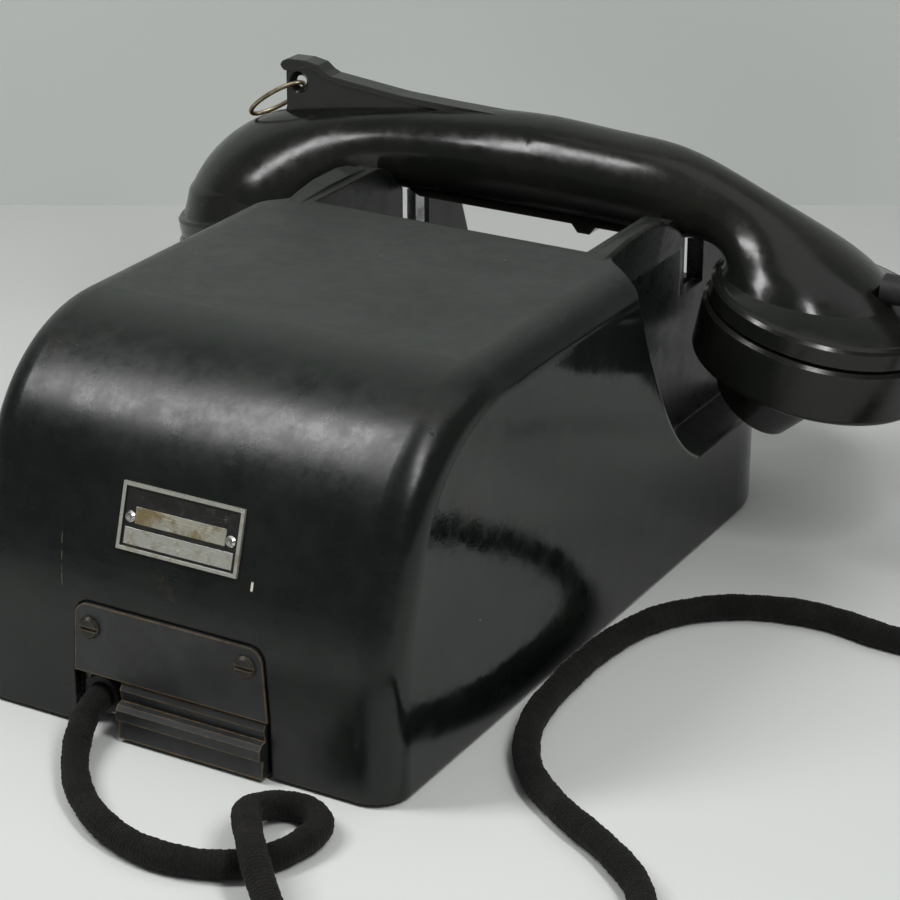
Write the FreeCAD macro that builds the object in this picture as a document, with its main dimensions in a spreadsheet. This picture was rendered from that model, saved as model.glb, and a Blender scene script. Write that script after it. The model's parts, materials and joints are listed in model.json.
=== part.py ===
# Desk telephone with a push-to-talk handset, modelled in millimetres.
# Frame: origin in the middle of the footprint on the table, +Z up, the dial faces -Y,
# the clamped cord leaves the back at +Y, the mouthpiece hangs on the -X side.
import FreeCAD, Part
import Sketcher
import math
import os
import re

V = FreeCAD.Vector
DOC = FreeCAD.newDocument("desk_telephone")

# Driving sizes: alias, value, what it measures
SIZES = [
    ("body_width", 126, "outside width of the housing"),
    ("body_depth", 240, "back face to front lip"),
    ("top_height", 97.3, "flat top above the table"),
    ("wall", 3, "moulded wall"),
    ("rim_gap", 1.2, "housing rim above the table"),
    ("edge_radius", 9.5, "rounding of the side edges of the housing"),
    ("back_break", 38, "height where the back starts to lean"),
    ("back_lean", 17, "lean of the upper back, degrees"),
    ("back_round", 46, "big radius between the back and the top"),
    ("break_round", 60, "soft radius where the lean starts"),
    ("ridge_y", -17, "front edge of the flat top"),
    ("valley_half", 43, "half width of the valley between the ears"),
    ("valley_drop", 27.3, "depth of the valley floor below the top"),
    ("valley_back_run", 13, "run of the valley's rear wall"),
    ("ear_thick", 5, "thickness of a cradle ear"),
    ("notch_lip", 6, "rounding where an ear's top turns into its notch"),
    ("ear_front_y", -93, "top of the ear's front edge"),
    ("ear_front_drop", 3.5, "front top of the ear below the flat top"),
    ("ear_foot_y", -117.5, "foot of the ear's front edge"),
    ("scoop_y0", -51, "rim of the side scoop just under the plinth top"),
    ("scoop_y1", -33.8, "rim of the side scoop, a fifth up"),
    ("scoop_y2", -20.6, "rim of the side scoop, nearly half up"),
    ("scoop_y3", -10.8, "rim of the side scoop, three quarters up"),
    ("scoop_y4", -5, "rim of the side scoop above the top"),
    ("scoop_round", 18, "hollow radius of the side scoop"),
    ("rim_round", 2.5, "rounding of the scoop rim"),
    ("plinth_height", 29.5, "top of the plinth under the scoop"),
    ("front_round", 42, "plan radius of the front corners"),
    ("dial_y", -88.5, "dial centre on the front slope"),
    ("dial_z", 40.5, "dial centre height"),
    ("dial_tilt", 50, "slope of the dial face, degrees"),
    ("dial_ring_r", 37, "outside radius of the dial ring"),
    ("dial_wheel_r", 34, "outside radius of the finger wheel"),
    ("dial_case_r", 27, "radius of the dial mechanism case"),
    ("dial_case_depth", 20, "depth of the dial mechanism case"),
    ("finger_hole_r", 6.3, "radius of a finger hole"),
    ("finger_pitch_r", 25.4, "radius of the circle of finger holes"),
    ("handle_y", -73, "middle plane of the handset"),
    ("handle_z", 100.2, "handle centre height at mid length"),
    ("handle_r", 13.6, "handle radius at mid length"),
    ("handle_seat_r", 12.3, "handle radius in the ears"),
    ("handle_sag", 2.2, "drop of the handle centre at the ears"),
    ("notch_r", 14.5, "radius of the notch in an ear"),
    ("notch_gap", 0.2, "handle above the bottom of the notch"),
    ("slot_width", 15, "width of the slot in an ear"),
    ("slot_floor", 70, "height of the floor of the ear slot"),
    ("blade_thick", 5, "thickness of a cradle blade"),
    ("blade_width", 3, "width of a cradle blade"),
    ("blade_x", 43, "middle of a cradle blade from the middle plane"),
    ("pivot_y", -25, "cradle fork pivot"),
    ("pivot_z", 44, "cradle fork pivot height"),
    ("pivot_r", 2.5, "radius of the cradle fork shaft"),
    ("running_gap", 0.3, "running clearance between moving pieces"),
    ("fit_gap", 0.2, "clearance of a seated piece"),
    ("cap_spacing", 180, "distance between the two cap centres"),
    ("flange_z", 75, "height of the flange centres"),
    ("cap_lean", 12, "inward lean of the caps, degrees"),
    ("flange_r", 33, "radius of the bell flange"),
    ("flange_thick", 5.6, "height of the bell flange"),
    ("mouth_bowl", 5.5, "height of the mouthpiece bowl above the flange"),
    ("ear_bowl", 16, "height of the earpiece bowl above the flange"),
    ("cap_r", 34, "radius of a cap"),
    ("mouth_cap_depth", 16, "depth of the mouthpiece cap"),
    ("ear_cap_depth", 17, "depth of the earpiece cap"),
    ("cap_gap", 0.5, "gap between bell and cap"),
    ("capsule_r", 24, "radius of a capsule"),
    ("capsule_depth", 15, "depth of a capsule"),
    ("bell_bore_r", 26, "bore of a bell for its capsule"),
    ("bell_bore_depth", 6.5, "depth of the bore above the flange face"),
    ("horn_reach", 16, "length of the mouthpiece horn"),
    ("horn_rim_r", 13, "outside radius of the horn rim"),
    ("horn_lean", 27, "inward lean of the horn, degrees"),
    ("bar_half", 41, "half length of the talk bar"),
    ("bar_width", 12.6, "width of the talk bar"),
    ("bar_height", 6, "height of the talk bar"),
    ("bar_low_z", 85.4, "underside of the talk bar"),
    ("bar_travel_gap", 1.6, "room above the talk bar"),
    ("fin_thick", 3.6, "thickness of the hanging fin"),
    ("fin_rim_width", 5.8, "width of the rim on the fin"),
    ("fin_hole_x", 82.4, "hole in the fin"),
    ("fin_hole_z", 112.6, "hole in the fin, height"),
    ("fin_hole_r", 1.8, "radius of the hole in the fin"),
    ("ring_wire_r", 0.7, "radius of the ring wire"),
    ("ring_half_length", 10.8, "half length of the wire ring"),
    ("ring_half_width", 4.8, "half width of the wire ring"),
    ("ring_lean", 34.5, "droop of the wire ring, degrees"),
    ("ring_roll", 25, "roll of the wire ring about its length, degrees"),
    ("collar_r", 4.2, "radius of the cord collar"),
    ("collar_z", 80.8, "height of the cord collar"),
    ("collar_end_x", -126, "outer end of the cord collar"),
    ("cord_r", 3.5, "radius of the braided cord"),
    ("recess_half", 29.3, "half width of the cord recess"),
    ("recess_gap", 0.4, "gap between the cover plate and its recess"),
    ("cover_half", 28.4, "half width of the cord cover plate"),
    ("cover_low", 16.2, "lower edge of the cord cover plate"),
    ("cover_top", 35.6, "upper edge of the cord cover plate"),
    ("cover_thick", 3, "thickness of the cord cover plate"),
    ("clamp_left", 14.8, "left end of the clamp block, seen from the front"),
    ("clamp_right", -28, "right end of the clamp block"),
    ("clamp_top", 15.6, "top of the clamp block"),
    ("clamp_proud", 4.4, "clamp block beyond the back face"),
    ("cord_exit_x", 23, "cord exit across the back"),
    ("cord_exit_z", 9, "cord exit height"),
    ("plate_width", 35.4, "type plate width"),
    ("plate_height", 17, "type plate height"),
    ("plate_thick", 0.8, "type plate thickness"),
    ("plate_up", 21.9, "type plate centre above the break, along the lean"),
    ("plate_x", -0.7, "type plate centre from the middle plane"),
    ("base_thick", 1.5, "steel base plate"),
    ("base_low", 1.8, "underside of the base plate"),
    ("foot_r", 8, "rubber foot radius"),
    ("screw_r", 2, "shank radius of the base screws"),
    ("head_r", 3.6, "head radius of the base screws"),
    ("boss_r", 5, "radius of a screw boss"),
    ("boss_height", 16, "height of a screw boss"),
    ("gong_r", 26, "radius of a gong"),
    ("gong_x", 31.5, "gong centre from the middle plane"),
    ("gong_y", 62, "gong centre"),
    ("gong_z", 62, "height of the gong rim"),
    ("gong_height", 16, "height of a gong"),
    ("clapper_ball_r", 3.5, "radius of the clapper ball"),
]

SHEET = DOC.addObject("Spreadsheet::Sheet", "Sizes")
for row, (alias, value, note) in enumerate(SIZES, start=1):
    SHEET.set(f"A{row}", alias)
    SHEET.set(f"B{row}", str(value))
    SHEET.set(f"C{row}", note)
    SHEET.setAlias(f"B{row}", alias)
DOC.recompute()
ALIASES = {alias for alias, _, _ in SIZES}
WORD = re.compile(r"[A-Za-z_][A-Za-z_0-9]*")


def bind(text):
    """Expression text with every alias looked up in the sheet."""
    return WORD.sub(lambda m: "Sizes." + m.group(0) if m.group(0) in ALIASES else m.group(0), str(text))


def mm(text):
    """Present value of an expression."""
    return float(SHEET.evalExpression(bind(text)))


def tie(obj, prop, text):
    obj.setExpression(prop, bind(text))


def place(obj, x="0", y="0", z="0", axis=None, angle=None):
    """Bind an object's place, and its turn about an axis, to the sheet."""
    turn = FreeCAD.Rotation(V(*axis), mm(angle)) if axis else FreeCAD.Rotation()
    obj.Placement = FreeCAD.Placement(V(mm(x), mm(y), mm(z)), turn)
    for key, text in (("x", x), ("y", y), ("z", z)):
        tie(obj, f"Placement.Base.{key}", text)
    if axis and not re.fullmatch(r"-?[0-9.]+", str(angle)):
        tie(obj, "Placement.Rotation.Angle", angle)
    return obj


def block(name, length, width, height, x="0", y="0", z="0"):
    """Box with its lowest corner at x, y, z."""
    obj = DOC.addObject("Part::Box", name)
    for prop, text in (("Length", length), ("Width", width), ("Height", height)):
        tie(obj, prop, text)
    return place(obj, x, y, z)


TURNS = {"z": (None, None), "x": ((0, 1, 0), "90"), "y": ((1, 0, 0), "-90")}


def rod(name, radius, length, x="0", y="0", z="0", along="z"):
    """Cylinder from x, y, z in the + direction of its axis."""
    obj = DOC.addObject("Part::Cylinder", name)
    tie(obj, "Radius", radius)
    tie(obj, "Height", length)
    return place(obj, x, y, z, *TURNS[along])


def cone(name, radius1, radius2, length, x="0", y="0", z="0", along="z"):
    obj = DOC.addObject("Part::Cone", name)
    tie(obj, "Radius1", radius1)
    tie(obj, "Radius2", radius2)
    tie(obj, "Height", length)
    return place(obj, x, y, z, *TURNS[along])


def ball(name, radius, x="0", y="0", z="0"):
    obj = DOC.addObject("Part::Sphere", name)
    tie(obj, "Radius", radius)
    return place(obj, x, y, z)


def fuse(name, pieces):
    obj = DOC.addObject("Part::MultiFuse", name)
    obj.Shapes = pieces
    obj.Refine = True
    return obj


def cut(name, base, tools):
    tool = tools[0] if len(tools) == 1 else fuse(name + "_tools", tools)
    obj = DOC.addObject("Part::Cut", name)
    obj.Base = base
    obj.Tool = tool
    obj.Refine = True
    return obj


def common(name, base, tool):
    obj = DOC.addObject("Part::Common", name)
    obj.Base = base
    obj.Tool = tool
    obj.Refine = True
    return obj


def group(name, pieces):
    """Several separate solids in one sub-part."""
    obj = DOC.addObject("Part::Compound", name)
    obj.Links = pieces
    return obj


def soften(name, base, radius, choose):
    """Round the edges that choose accepts; the radius is read from the sheet."""
    DOC.recompute()
    picked = [(i, mm(radius), mm(radius)) for i, e in enumerate(base.Shape.Edges, start=1) if choose(e)]
    obj = DOC.addObject("Part::Fillet", name)
    obj.Base = base
    obj.Edges = picked
    return obj


def new_body(name):
    body = DOC.addObject("PartDesign::Body", name)
    DOC.recompute()
    return body


def arc_between(start, end, radius, side):
    """Arc of a circle from start to end that turns left (+1) or right (-1)."""
    chord = end - start
    middle = (start + end) * 0.5
    reach = max(radius * radius - chord.Length ** 2 / 4, 0) ** 0.5
    normal = V(-chord.y, chord.x, 0).normalize()
    centre = middle + normal * reach * side
    circle = Part.Circle(centre, V(0, 0, 1), radius)
    first, last = (start, end) if side > 0 else (end, start)
    return Part.ArcOfCircle(circle, circle.parameter(first), circle.parameter(last))


def outline(body, name, plane, corners, circles=()):
    """Closed sketch through corners (u, v), each bound to the sheet; without a body it lies flat.

    A corner (u, v, radius, side) is reached by an arc that turns left (+1) or right (-1).
    """
    if body:
        sketch = body.newObject("Sketcher::SketchObject", name)
        role = [f for f in body.Origin.OriginFeatures if f.Role == plane][0]
        sketch.AttachmentSupport = [(role, "")]
        sketch.MapMode = "FlatFace"
    else:
        sketch = DOC.addObject("Sketcher::SketchObject", name)
    spots = [V(mm(c[0]), mm(c[1]), 0) for c in corners]
    starts, ends = [], []
    for i in range(len(corners)):
        target = corners[(i + 1) % len(corners)]
        a, b = spots[i], spots[(i + 1) % len(corners)]
        if len(target) == 2:
            sketch.addGeometry(Part.LineSegment(a, b), False)
            starts.append(1)
            ends.append(2)
        else:
            sketch.addGeometry(arc_between(a, b, mm(target[2]), target[3]), False)
            starts.append(1 if target[3] > 0 else 2)
            ends.append(2 if target[3] > 0 else 1)
    count = len(corners)
    for i in range(count):
        j = (i + 1) % count
        sketch.addConstraint(Sketcher.Constraint("Coincident", i, ends[i], j, starts[j]))
    for i, corner in enumerate(corners):
        for kind, text, value in (("DistanceX", corner[0], spots[i].x),
                                  ("DistanceY", corner[1], spots[i].y)):
            k = sketch.addConstraint(Sketcher.Constraint(kind, -1, 1, i, starts[i], value))
            sketch.setExpression(f"Constraints[{k}]", bind(text))
        target = corners[(i + 1) % count]
        if len(target) > 2:
            k = sketch.addConstraint(Sketcher.Constraint("Radius", i, mm(target[2])))
            sketch.setExpression(f"Constraints[{k}]", bind(target[2]))
    for u, v, radius in circles:
        circle = sketch.addGeometry(Part.Circle(V(mm(u), mm(v), 0), V(0, 0, 1), mm(radius)), False)
        for kind, text in (("DistanceX", u), ("DistanceY", v)):
            k = sketch.addConstraint(Sketcher.Constraint(kind, -1, 1, circle, 3, mm(text)))
            sketch.setExpression(f"Constraints[{k}]", bind(text))
        k = sketch.addConstraint(Sketcher.Constraint("Radius", circle, mm(radius)))
        sketch.setExpression(f"Constraints[{k}]", bind(radius))
    return sketch


def pad(body, sketch, length, symmetric=True):
    feature = body.newObject("PartDesign::Pad", sketch.Name + "_pad")
    feature.Profile = (sketch, [""])
    feature.SideType = "Symmetric" if symmetric else "One side"
    tie(feature, "Length", length)
    DOC.recompute()
    return feature


def revolve(body, sketch):
    feature = body.newObject("PartDesign::Revolution", sketch.Name + "_turn")
    feature.Profile = (sketch, [""])
    feature.ReferenceAxis = (sketch, ["V_Axis"])
    feature.Angle = 360
    DOC.recompute()
    return feature


def turned(name, corners):
    """Body turned about its own Z axis from corners (radius, height)."""
    body = new_body(name)
    revolve(body, outline(body, name + "_half", "XZ_Plane", corners))
    return body


def round_edges(body, radius, choose):
    """Fillet on the body's edges that choose accepts."""
    base = body.Tip
    names = [f"Edge{i}" for i, e in enumerate(base.Shape.Edges, start=1) if choose(e)]
    feature = body.newObject("PartDesign::Fillet", body.Name + f"_round{len(body.Group)}")
    feature.Base = (base, names)
    tie(feature, "Radius", radius)
    DOC.recompute()
    return feature


PARTS = {}


def keep(node, obj):
    """Name a finished sub-part."""
    obj.Label = node
    PARTS[node] = obj
    return obj


# Places that several pieces share
BACK = "(body_depth / 2)"
FRONT = "(-body_depth / 2)"
CORNER_Y = f"({BACK} - (top_height - back_break) * tan(back_lean))"
VALLEY_Z = "(top_height - valley_drop)"
EAR_OUT = "(valley_half + ear_thick)"
BASE_TOP = "(base_low + base_thick)"


def slope_y(z, inset="0"):
    """y of the dial slope at height z, moved into the wall by inset."""
    return f"(dial_y + (({z}) - dial_z) / tan(dial_tilt) + ({inset}) / sin(dial_tilt))"


def back_profile(inset):
    """Outline corners of the back and the big radius, inset from the outside, bottom to top."""
    big = f"(back_round - {inset})"
    soft = f"(break_round - {inset})"
    half_turn = "tan((90 - back_lean) / 2)"
    half_lean = "tan(back_lean / 2)"
    kink_z = f"(back_break - {inset} * {half_lean})"
    top_z = f"(top_height - {inset})"
    corner_y = f"({CORNER_Y} - {inset} / cos(back_lean) + {inset} * tan(back_lean))"
    return [
        (f"{BACK} - {inset}", f"{kink_z} - {soft} * {half_lean}"),
        (f"{BACK} - {inset} - {soft} * {half_lean} * sin(back_lean)",
         f"{kink_z} + {soft} * {half_lean} * cos(back_lean)", soft, 1),
        (f"{corner_y} + {big} * {half_turn} * sin(back_lean)",
         f"{top_z} - {big} * {half_turn} * cos(back_lean)"),
        (f"{corner_y} - {big} * {half_turn}", top_z, big, 1),
    ]


def along_back(edge):
    """True for an edge that runs along the back and top outline on a side face."""
    box = edge.BoundBox
    flat = box.XLength < 0.01 and abs(box.XMin) > mm("valley_half") + 1
    return flat and box.YMax > mm("ridge_y") - 1 and box.ZMax > mm("rim_gap") + 5


def make_outer():
    """Solid outside of the housing, before it is hollowed."""
    body = new_body("outer")
    corners = [(FRONT, "rim_gap"), (BACK, "rim_gap")] + back_profile("0") + [
        ("ear_front_y + 4", "top_height"),
        ("ear_front_y", "top_height - ear_front_drop"),
        ("ear_foot_y", "plinth_height"),
        (FRONT, "plinth_height - 4"),
    ]
    pad(body, outline(body, "side_view", "YZ_Plane", corners), "body_width")
    round_edges(body, "edge_radius", along_back)
    return body


def scoop(name, side):
    """Hollow beside one ear: plan outlines at five heights, lofted along its curved rim."""
    half = "(body_width / 2)"
    offset = f"({half} - rim_round - {EAR_OUT} - scoop_round)"
    reach = "(scoop_round + rim_round)"
    rise = f"sqrt({reach} ^ 2 - {offset} ^ 2)"
    plans = []
    for i, share in enumerate(("0", "0.18", "0.45", "0.72", "1")):
        low = f"(scoop_y{i} - {rise})"
        corners = [
            (f"{side} * ({half} + 20)", f"{low} + {rise}"),
            (f"{side} * {half}", f"{low} + {rise}"),
            (f"{side} * ({half} - rim_round - {offset} * rim_round / {reach})",
             f"{low} + {rise} * scoop_round / {reach}", "rim_round", -side),
            (f"{side} * {EAR_OUT}", low, "scoop_round", side),
            (f"{side} * {EAR_OUT}", f"{FRONT} - 60"),
            (f"{side} * ({half} + 20)", f"{FRONT} - 60"),
        ]
        sketch = outline(None, f"{name}_plan{i}", None, corners)
        plans.append(place(sketch, z=f"plinth_height - 1 + {share} * (top_height + 6 - plinth_height)"))
    loft = DOC.addObject("Part::Loft", name)
    loft.Sections = plans
    loft.Solid = True
    low_face = block(name + "_floor", "60", "200", "10", f"{side} * {half} - 30", f"{FRONT} - 60",
                     "plinth_height - 10")
    return cut(name + "_trimmed", loft, [low_face])


def valley(name, half, inset):
    """Space between the ears and over the dial slope; inset grows it into the wall."""
    body = new_body(name)
    floor = f"({VALLEY_Z} - {inset})"
    low = f"(rim_gap + 6 - {inset})"
    corners = [
        (f"ridge_y + {inset}", f"top_height + 40"),
        (f"ridge_y + {inset}", f"top_height - 3"),
        (f"ridge_y - valley_back_run + {inset}", floor),
        (slope_y(floor, inset), floor),
        (slope_y(low, inset), low),
        (f"{FRONT} - 30", low),
        (f"{FRONT} - 30", "top_height + 40"),
    ]
    pad(body, outline(body, name + "_side", "YZ_Plane", corners), f"2 * ({half})")
    return body


def plan_block(name, inset, low, high):
    """Footprint with large front corners and small back corners, inset from the outside."""
    body = new_body(name)
    half = f"(body_width / 2 - {inset})"
    front_r = f"(front_round - {inset})"
    back_r = f"(edge_radius - {inset})"
    front = f"({FRONT} + {inset})"
    back = f"({BACK} - {inset})"
    corners = [
        (f"-{half} + {front_r}", front),
        (f"{half} - {front_r}", front),
        (half, f"{front} + {front_r}", front_r, 1),
        (half, f"{back} - {back_r}"),
        (f"{half} - {back_r}", back, back_r, 1),
        (f"-{half} + {back_r}", back),
        (f"-{half}", f"{back} - {back_r}", back_r, 1),
        (f"-{half}", f"{front} + {front_r}"),
        (f"-{half} + {front_r}", front, front_r, 1),
    ]
    corners = corners[:-1]
    corners[0] = corners[0] + (front_r, 1)
    pad(body, outline(body, name + "_plan", "XY_Plane", corners), f"{high} - ({low})", symmetric=False)
    return place(body, z=low)


def make_cavity():
    """Hollow inside of the housing."""
    rear = new_body("cavity_rear")
    top = "(top_height - wall)"
    corners = [("scoop_y0 + wall", "0"), (f"{BACK} - wall", "0")] + back_profile("wall") + [
        ("ridge_y + wall", top),
        ("ridge_y + wall", "top_height * 0.85"),
        ("scoop_y2 + wall", "plinth_height + 0.45 * (top_height - plinth_height)"),
        ("scoop_y0 + wall", "plinth_height - wall"),
    ]
    pad(rear, outline(rear, "cavity_rear_side", "YZ_Plane", corners), "body_width - 2 * wall")

    def inner_edge(edge):
        box = edge.BoundBox
        level = mm("ridge_y + wall")
        return box.XLength < 0.01 and box.ZMax > 1 and box.YMin > level - 0.01 and box.YMax > level + 1
    round_edges(rear, "edge_radius - wall", inner_edge)

    front = new_body("cavity_front")
    floor = f"({VALLEY_Z} - wall)"
    low = "(rim_gap + 6 - wall)"
    front_corners = [
        ("ridge_y + wall + 1", "0"),
        ("ridge_y + wall + 1", f"{floor}"),
        (slope_y(floor, "wall"), floor),
        (slope_y(low, "wall"), low),
        (slope_y(low, "wall"), "0"),
    ]
    pad(front, outline(front, "cavity_front_side", "YZ_Plane", front_corners), f"2 * ({EAR_OUT} - wall)")

    plinth = plan_block("cavity_plinth", "wall", "0", "plinth_height - wall")
    under_slope = cut("cavity_plinth_cut", plinth, [valley("valley_inner", "valley_half + wall", "wall")])
    return fuse("cavity", [rear, front, under_slope])


def dial_frame(obj, out="0"):
    """Put a piece made about its own Z axis on the dial's axis, out from the slope."""
    return place(obj, "0", f"dial_y - ({out}) * sin(dial_tilt)", f"dial_z + ({out}) * cos(dial_tilt)",
                 (1, 0, 0), "dial_tilt")


# Raised outer rim of an ear: y, height above the flat top, how far the cheek flares
EAR_RIM = [
    (-12, -0.1, 2.6), (-20, 1.2, 2.9), (-28, 2.2, 3), (-40, 2.3, 3), (-46, 1.3, 2.8), (-50, -0.1, 2.6),
    (-86, -0.1, 2.2), (-93, -3.7, 0.1),
]


def ear_rim(side):
    """Outer rim of an ear, lofted through upright outlines from back to front."""
    sections = []
    for i, (y, rise, flare) in enumerate(EAR_RIM):
        out = f"{EAR_OUT} + {flare}"
        low = "(valley_half + ear_thick / 2)"
        sketch = outline(None, f"ear_rim{side + 1}_{i}", None, [
            (f"{side} * {low}", "top_height - 16"), (f"{side} * {low}", f"top_height + {rise} * 0.4 - 0.05"),
            (f"{side} * ({out} - 0.9)", f"top_height + {rise}"),
            (f"{side} * ({out})", f"top_height + {rise} - 0.9"),
            (f"{side} * ({EAR_OUT} - 0.2)", "top_height - 14"),
        ])
        sections.append(place(sketch, y=str(y), axis=(1, 0, 0), angle="90"))
    loft = DOC.addObject("Part::Loft", f"ear_rim{side + 1}")
    loft.Sections = sections
    loft.Solid = True
    loft.Ruled = True
    return loft


BOSS_SPOTS = [(sx, y) for sx in (1, -1) for y in ("(body_depth / 2 - 17)", "(-body_depth / 2 + 45)")]


def boss_x(sx):
    return f"{sx} * (body_width / 2 - wall - boss_r + 1)"


def make_housing():
    shell = cut("shell_outer", make_outer(), [scoop("scoop_left", 1), scoop("scoop_right", -1)])
    shell = cut("shell_valley", shell, [valley("valley_outer", "valley_half", "0")])
    shell = common("shell_plan", shell, plan_block("plan", "0", "0", "top_height + 20"))
    shell = fuse("shell_rims", [shell, ear_rim(1), ear_rim(-1)])
    shell = cut("shell_hollow", shell, [make_cavity()])

    added = []
    for i, (sx, y) in enumerate(BOSS_SPOTS):
        added.append(rod(f"boss{i}", "boss_r", "boss_height", boss_x(sx), y, f"{BASE_TOP} + fit_gap"))
        side = "body_width / 2 - wall - boss_r + 1"
        x0 = side if sx > 0 else f"-({side}) - boss_r"
        added.append(block(f"boss_web{i}", "boss_r", "3", "boss_height", x0, f"{y} - 1.5",
                           f"{BASE_TOP} + fit_gap"))
    for sx in (1, -1):
        inner = "(blade_x - blade_width / 2 - running_gap - 2.2)"
        width = f"({EAR_OUT} - {inner})"
        x0 = inner if sx > 0 else f"-({EAR_OUT})"
        added.append(block(f"slot_rib{sx + 1}", width, "slot_width + 8", "slot_floor - pivot_z - 11",
                           x0, "handle_y - slot_width / 2 - 4", "pivot_z + 11"))
    shell = fuse("shell_bosses", [shell] + added)

    notch_z = "(handle_z - handle_sag - handle_seat_r - notch_gap + notch_r)"
    holes = [rod("handle_notch", "notch_r", f"2 * {EAR_OUT} + 10", f"-{EAR_OUT} - 5", "handle_y", notch_z,
                 "x")]
    lip = new_body("notch_lip_wedge")
    steep = f"(({notch_z} - top_height + notch_lip) / notch_r)"
    inner_y = f"(notch_r * sqrt(1 - {steep} ^ 2))"
    lip_r = f"(notch_lip / (1 - {steep}))"
    lip_y = f"({inner_y} + {lip_r} * sqrt(1 - {steep} ^ 2))"
    pad(lip, outline(lip, "notch_lip_side", "YZ_Plane", [
        (f"handle_y + {lip_y}", "top_height + 20"), (f"handle_y - {lip_y}", "top_height + 20"),
        (f"handle_y - {lip_y}", "top_height"),
        (f"handle_y - {inner_y}", "top_height - notch_lip", lip_r, -1),
        (f"handle_y + {inner_y}", "top_height - notch_lip"),
        (f"handle_y + {lip_y}", "top_height", lip_r, -1),
    ]), f"2 * {EAR_OUT} + 10")
    holes.append(lip)
    holes.append(block("handle_throat", f"2 * {EAR_OUT} + 10", "2 * notch_r", "40", f"-{EAR_OUT} - 5",
                       "handle_y - notch_r", notch_z))
    for sx in (1, -1):
        x0 = "valley_half - 4" if sx > 0 else f"-{EAR_OUT} - 5"
        holes.append(block(f"ear_slot{sx + 1}", "ear_thick + 9", "slot_width", "handle_z - slot_floor",
                           x0, "handle_y - slot_width / 2", "slot_floor"))
        inner = "(blade_x - blade_width / 2 - running_gap)"
        x0 = inner if sx > 0 else f"-({inner}) - blade_width - 2 * running_gap"
        holes.append(block(f"blade_well{sx + 1}", "blade_width + 2 * running_gap", "slot_width",
                           "slot_floor - 22", x0, "handle_y - slot_width / 2", "23"))
    dial_hole = rod("dial_hole", "dial_case_r + 1", "40")
    holes.append(dial_frame(dial_hole, "-20"))
    holes.append(cord_recess())
    for i, (sx, y) in enumerate(BOSS_SPOTS):
        holes.append(rod(f"boss_hole{i}", "screw_r + 0.1", "boss_height", boss_x(sx), y, "0"))
    for i, x in enumerate(RIVETS):
        holes.append(plate_frame(rod(f"rivet_hole{i}", "0.94", "8"), x, "-6"))
    shell = cut("housing_done", shell, holes)
    return keep("housing", shell)


def cord_recess():
    """Cutter for the recess in the back: it follows the cover plate's outline, with a gap."""
    body = new_body("recess")
    side = "(cover_half - 0.6)"
    round_r = f"({COVER_CORNER} + recess_gap)"
    corners = [
        ("-recess_half", "-5"), ("recess_half", "-5"), ("recess_half", "cover_low"),
        (f"{side} + recess_gap", f"cover_top - {COVER_CORNER}"),
        (f"{side} - {COVER_CORNER}", "cover_top + recess_gap", round_r, 1),
        (f"-{side} + {COVER_CORNER}", "cover_top + recess_gap"),
        (f"-{side} - recess_gap", f"cover_top - {COVER_CORNER}", round_r, 1),
        ("-recess_half", "cover_low"),
    ]
    pad(body, outline(body, "recess_face", "XZ_Plane", corners), "20")
    return place(body, y=f"{BACK} - wall - 2 + 10")


def make_base_plate():
    plate = plan_block("base_blank", "(wall + 0.4)", "base_low", BASE_TOP)
    holes = [rod(f"base_hole{i}", "screw_r + 0.1", "20", boss_x(sx), y, "-5")
             for i, (sx, y) in enumerate(BOSS_SPOTS)]
    holes += [rod(f"foot_hole{i}", "2.6", "20", x, y, "-5") for i, (x, y) in enumerate(FOOT_SPOTS)]
    notch_y = slope_y("rim_gap + 6 - wall", "wall")
    holes.append(block("base_front_notch", f"2 * {EAR_OUT}", "40", "20", f"-{EAR_OUT}",
                       f"{notch_y} - 40 + 0.4", "-5"))
    holes.append(block("base_back_notch", "2 * recess_half + 2", "12", "20", "-recess_half - 1",
                       f"{BACK} - wall - 3.4", "-5"))
    return keep("base_plate", cut("base_done", plate, holes))


FOOT_SPOTS = [(f"{sx} * (body_width / 2 - 16)", y) for sx in (1, -1)
              for y in ("(body_depth / 2 - 36)", "(-body_depth / 2 + 64)")]


def make_feet():
    feet = []
    for i, (x, y) in enumerate(FOOT_SPOTS):
        foot = turned(f"foot{i}", [
            ("0", "0"), ("foot_r - 1", "0"), ("foot_r", "base_low"), ("2.5", "base_low"),
            ("2.5", f"{BASE_TOP}"), ("4", f"{BASE_TOP}"), ("3", f"{BASE_TOP} + 2"), ("0", f"{BASE_TOP} + 2"),
        ])
        feet.append(place(foot, x, y))
    return keep("rubber_feet", group("feet", feet))


def screw(name, head_r, head_h, shank_r, shank_len, slot=True):
    """Screw about Z, head underside at z=0, shank pointing down."""
    head = turned(name, [
        ("0", "0"), (head_r, "0"), (head_r, f"{head_h} * 0.5"), (f"{head_r} * 0.8", head_h), ("0", head_h),
    ])
    solid = fuse(name + "_solid", [head, rod(name + "_shank", shank_r, shank_len, z=f"-({shank_len})")])
    if not slot:
        return solid
    groove = block(name + "_slot", f"2 * ({head_r}) + 1", f"{head_r} * 0.3", head_h,
                   f"-({head_r}) - 0.5", f"-{head_r} * 0.15", f"{head_h} * 0.55")
    return cut(name + "_slotted", solid, [groove])


def make_base_screws():
    screws = []
    for i, (sx, y) in enumerate(BOSS_SPOTS):
        piece = screw(f"base_screw{i}", "head_r", "1.4", "screw_r", "12")
        screws.append(place(piece, boss_x(sx), y, "base_low", (1, 0, 0), "180"))
    return keep("base_screws", group("base_screw_group", screws))


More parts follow.
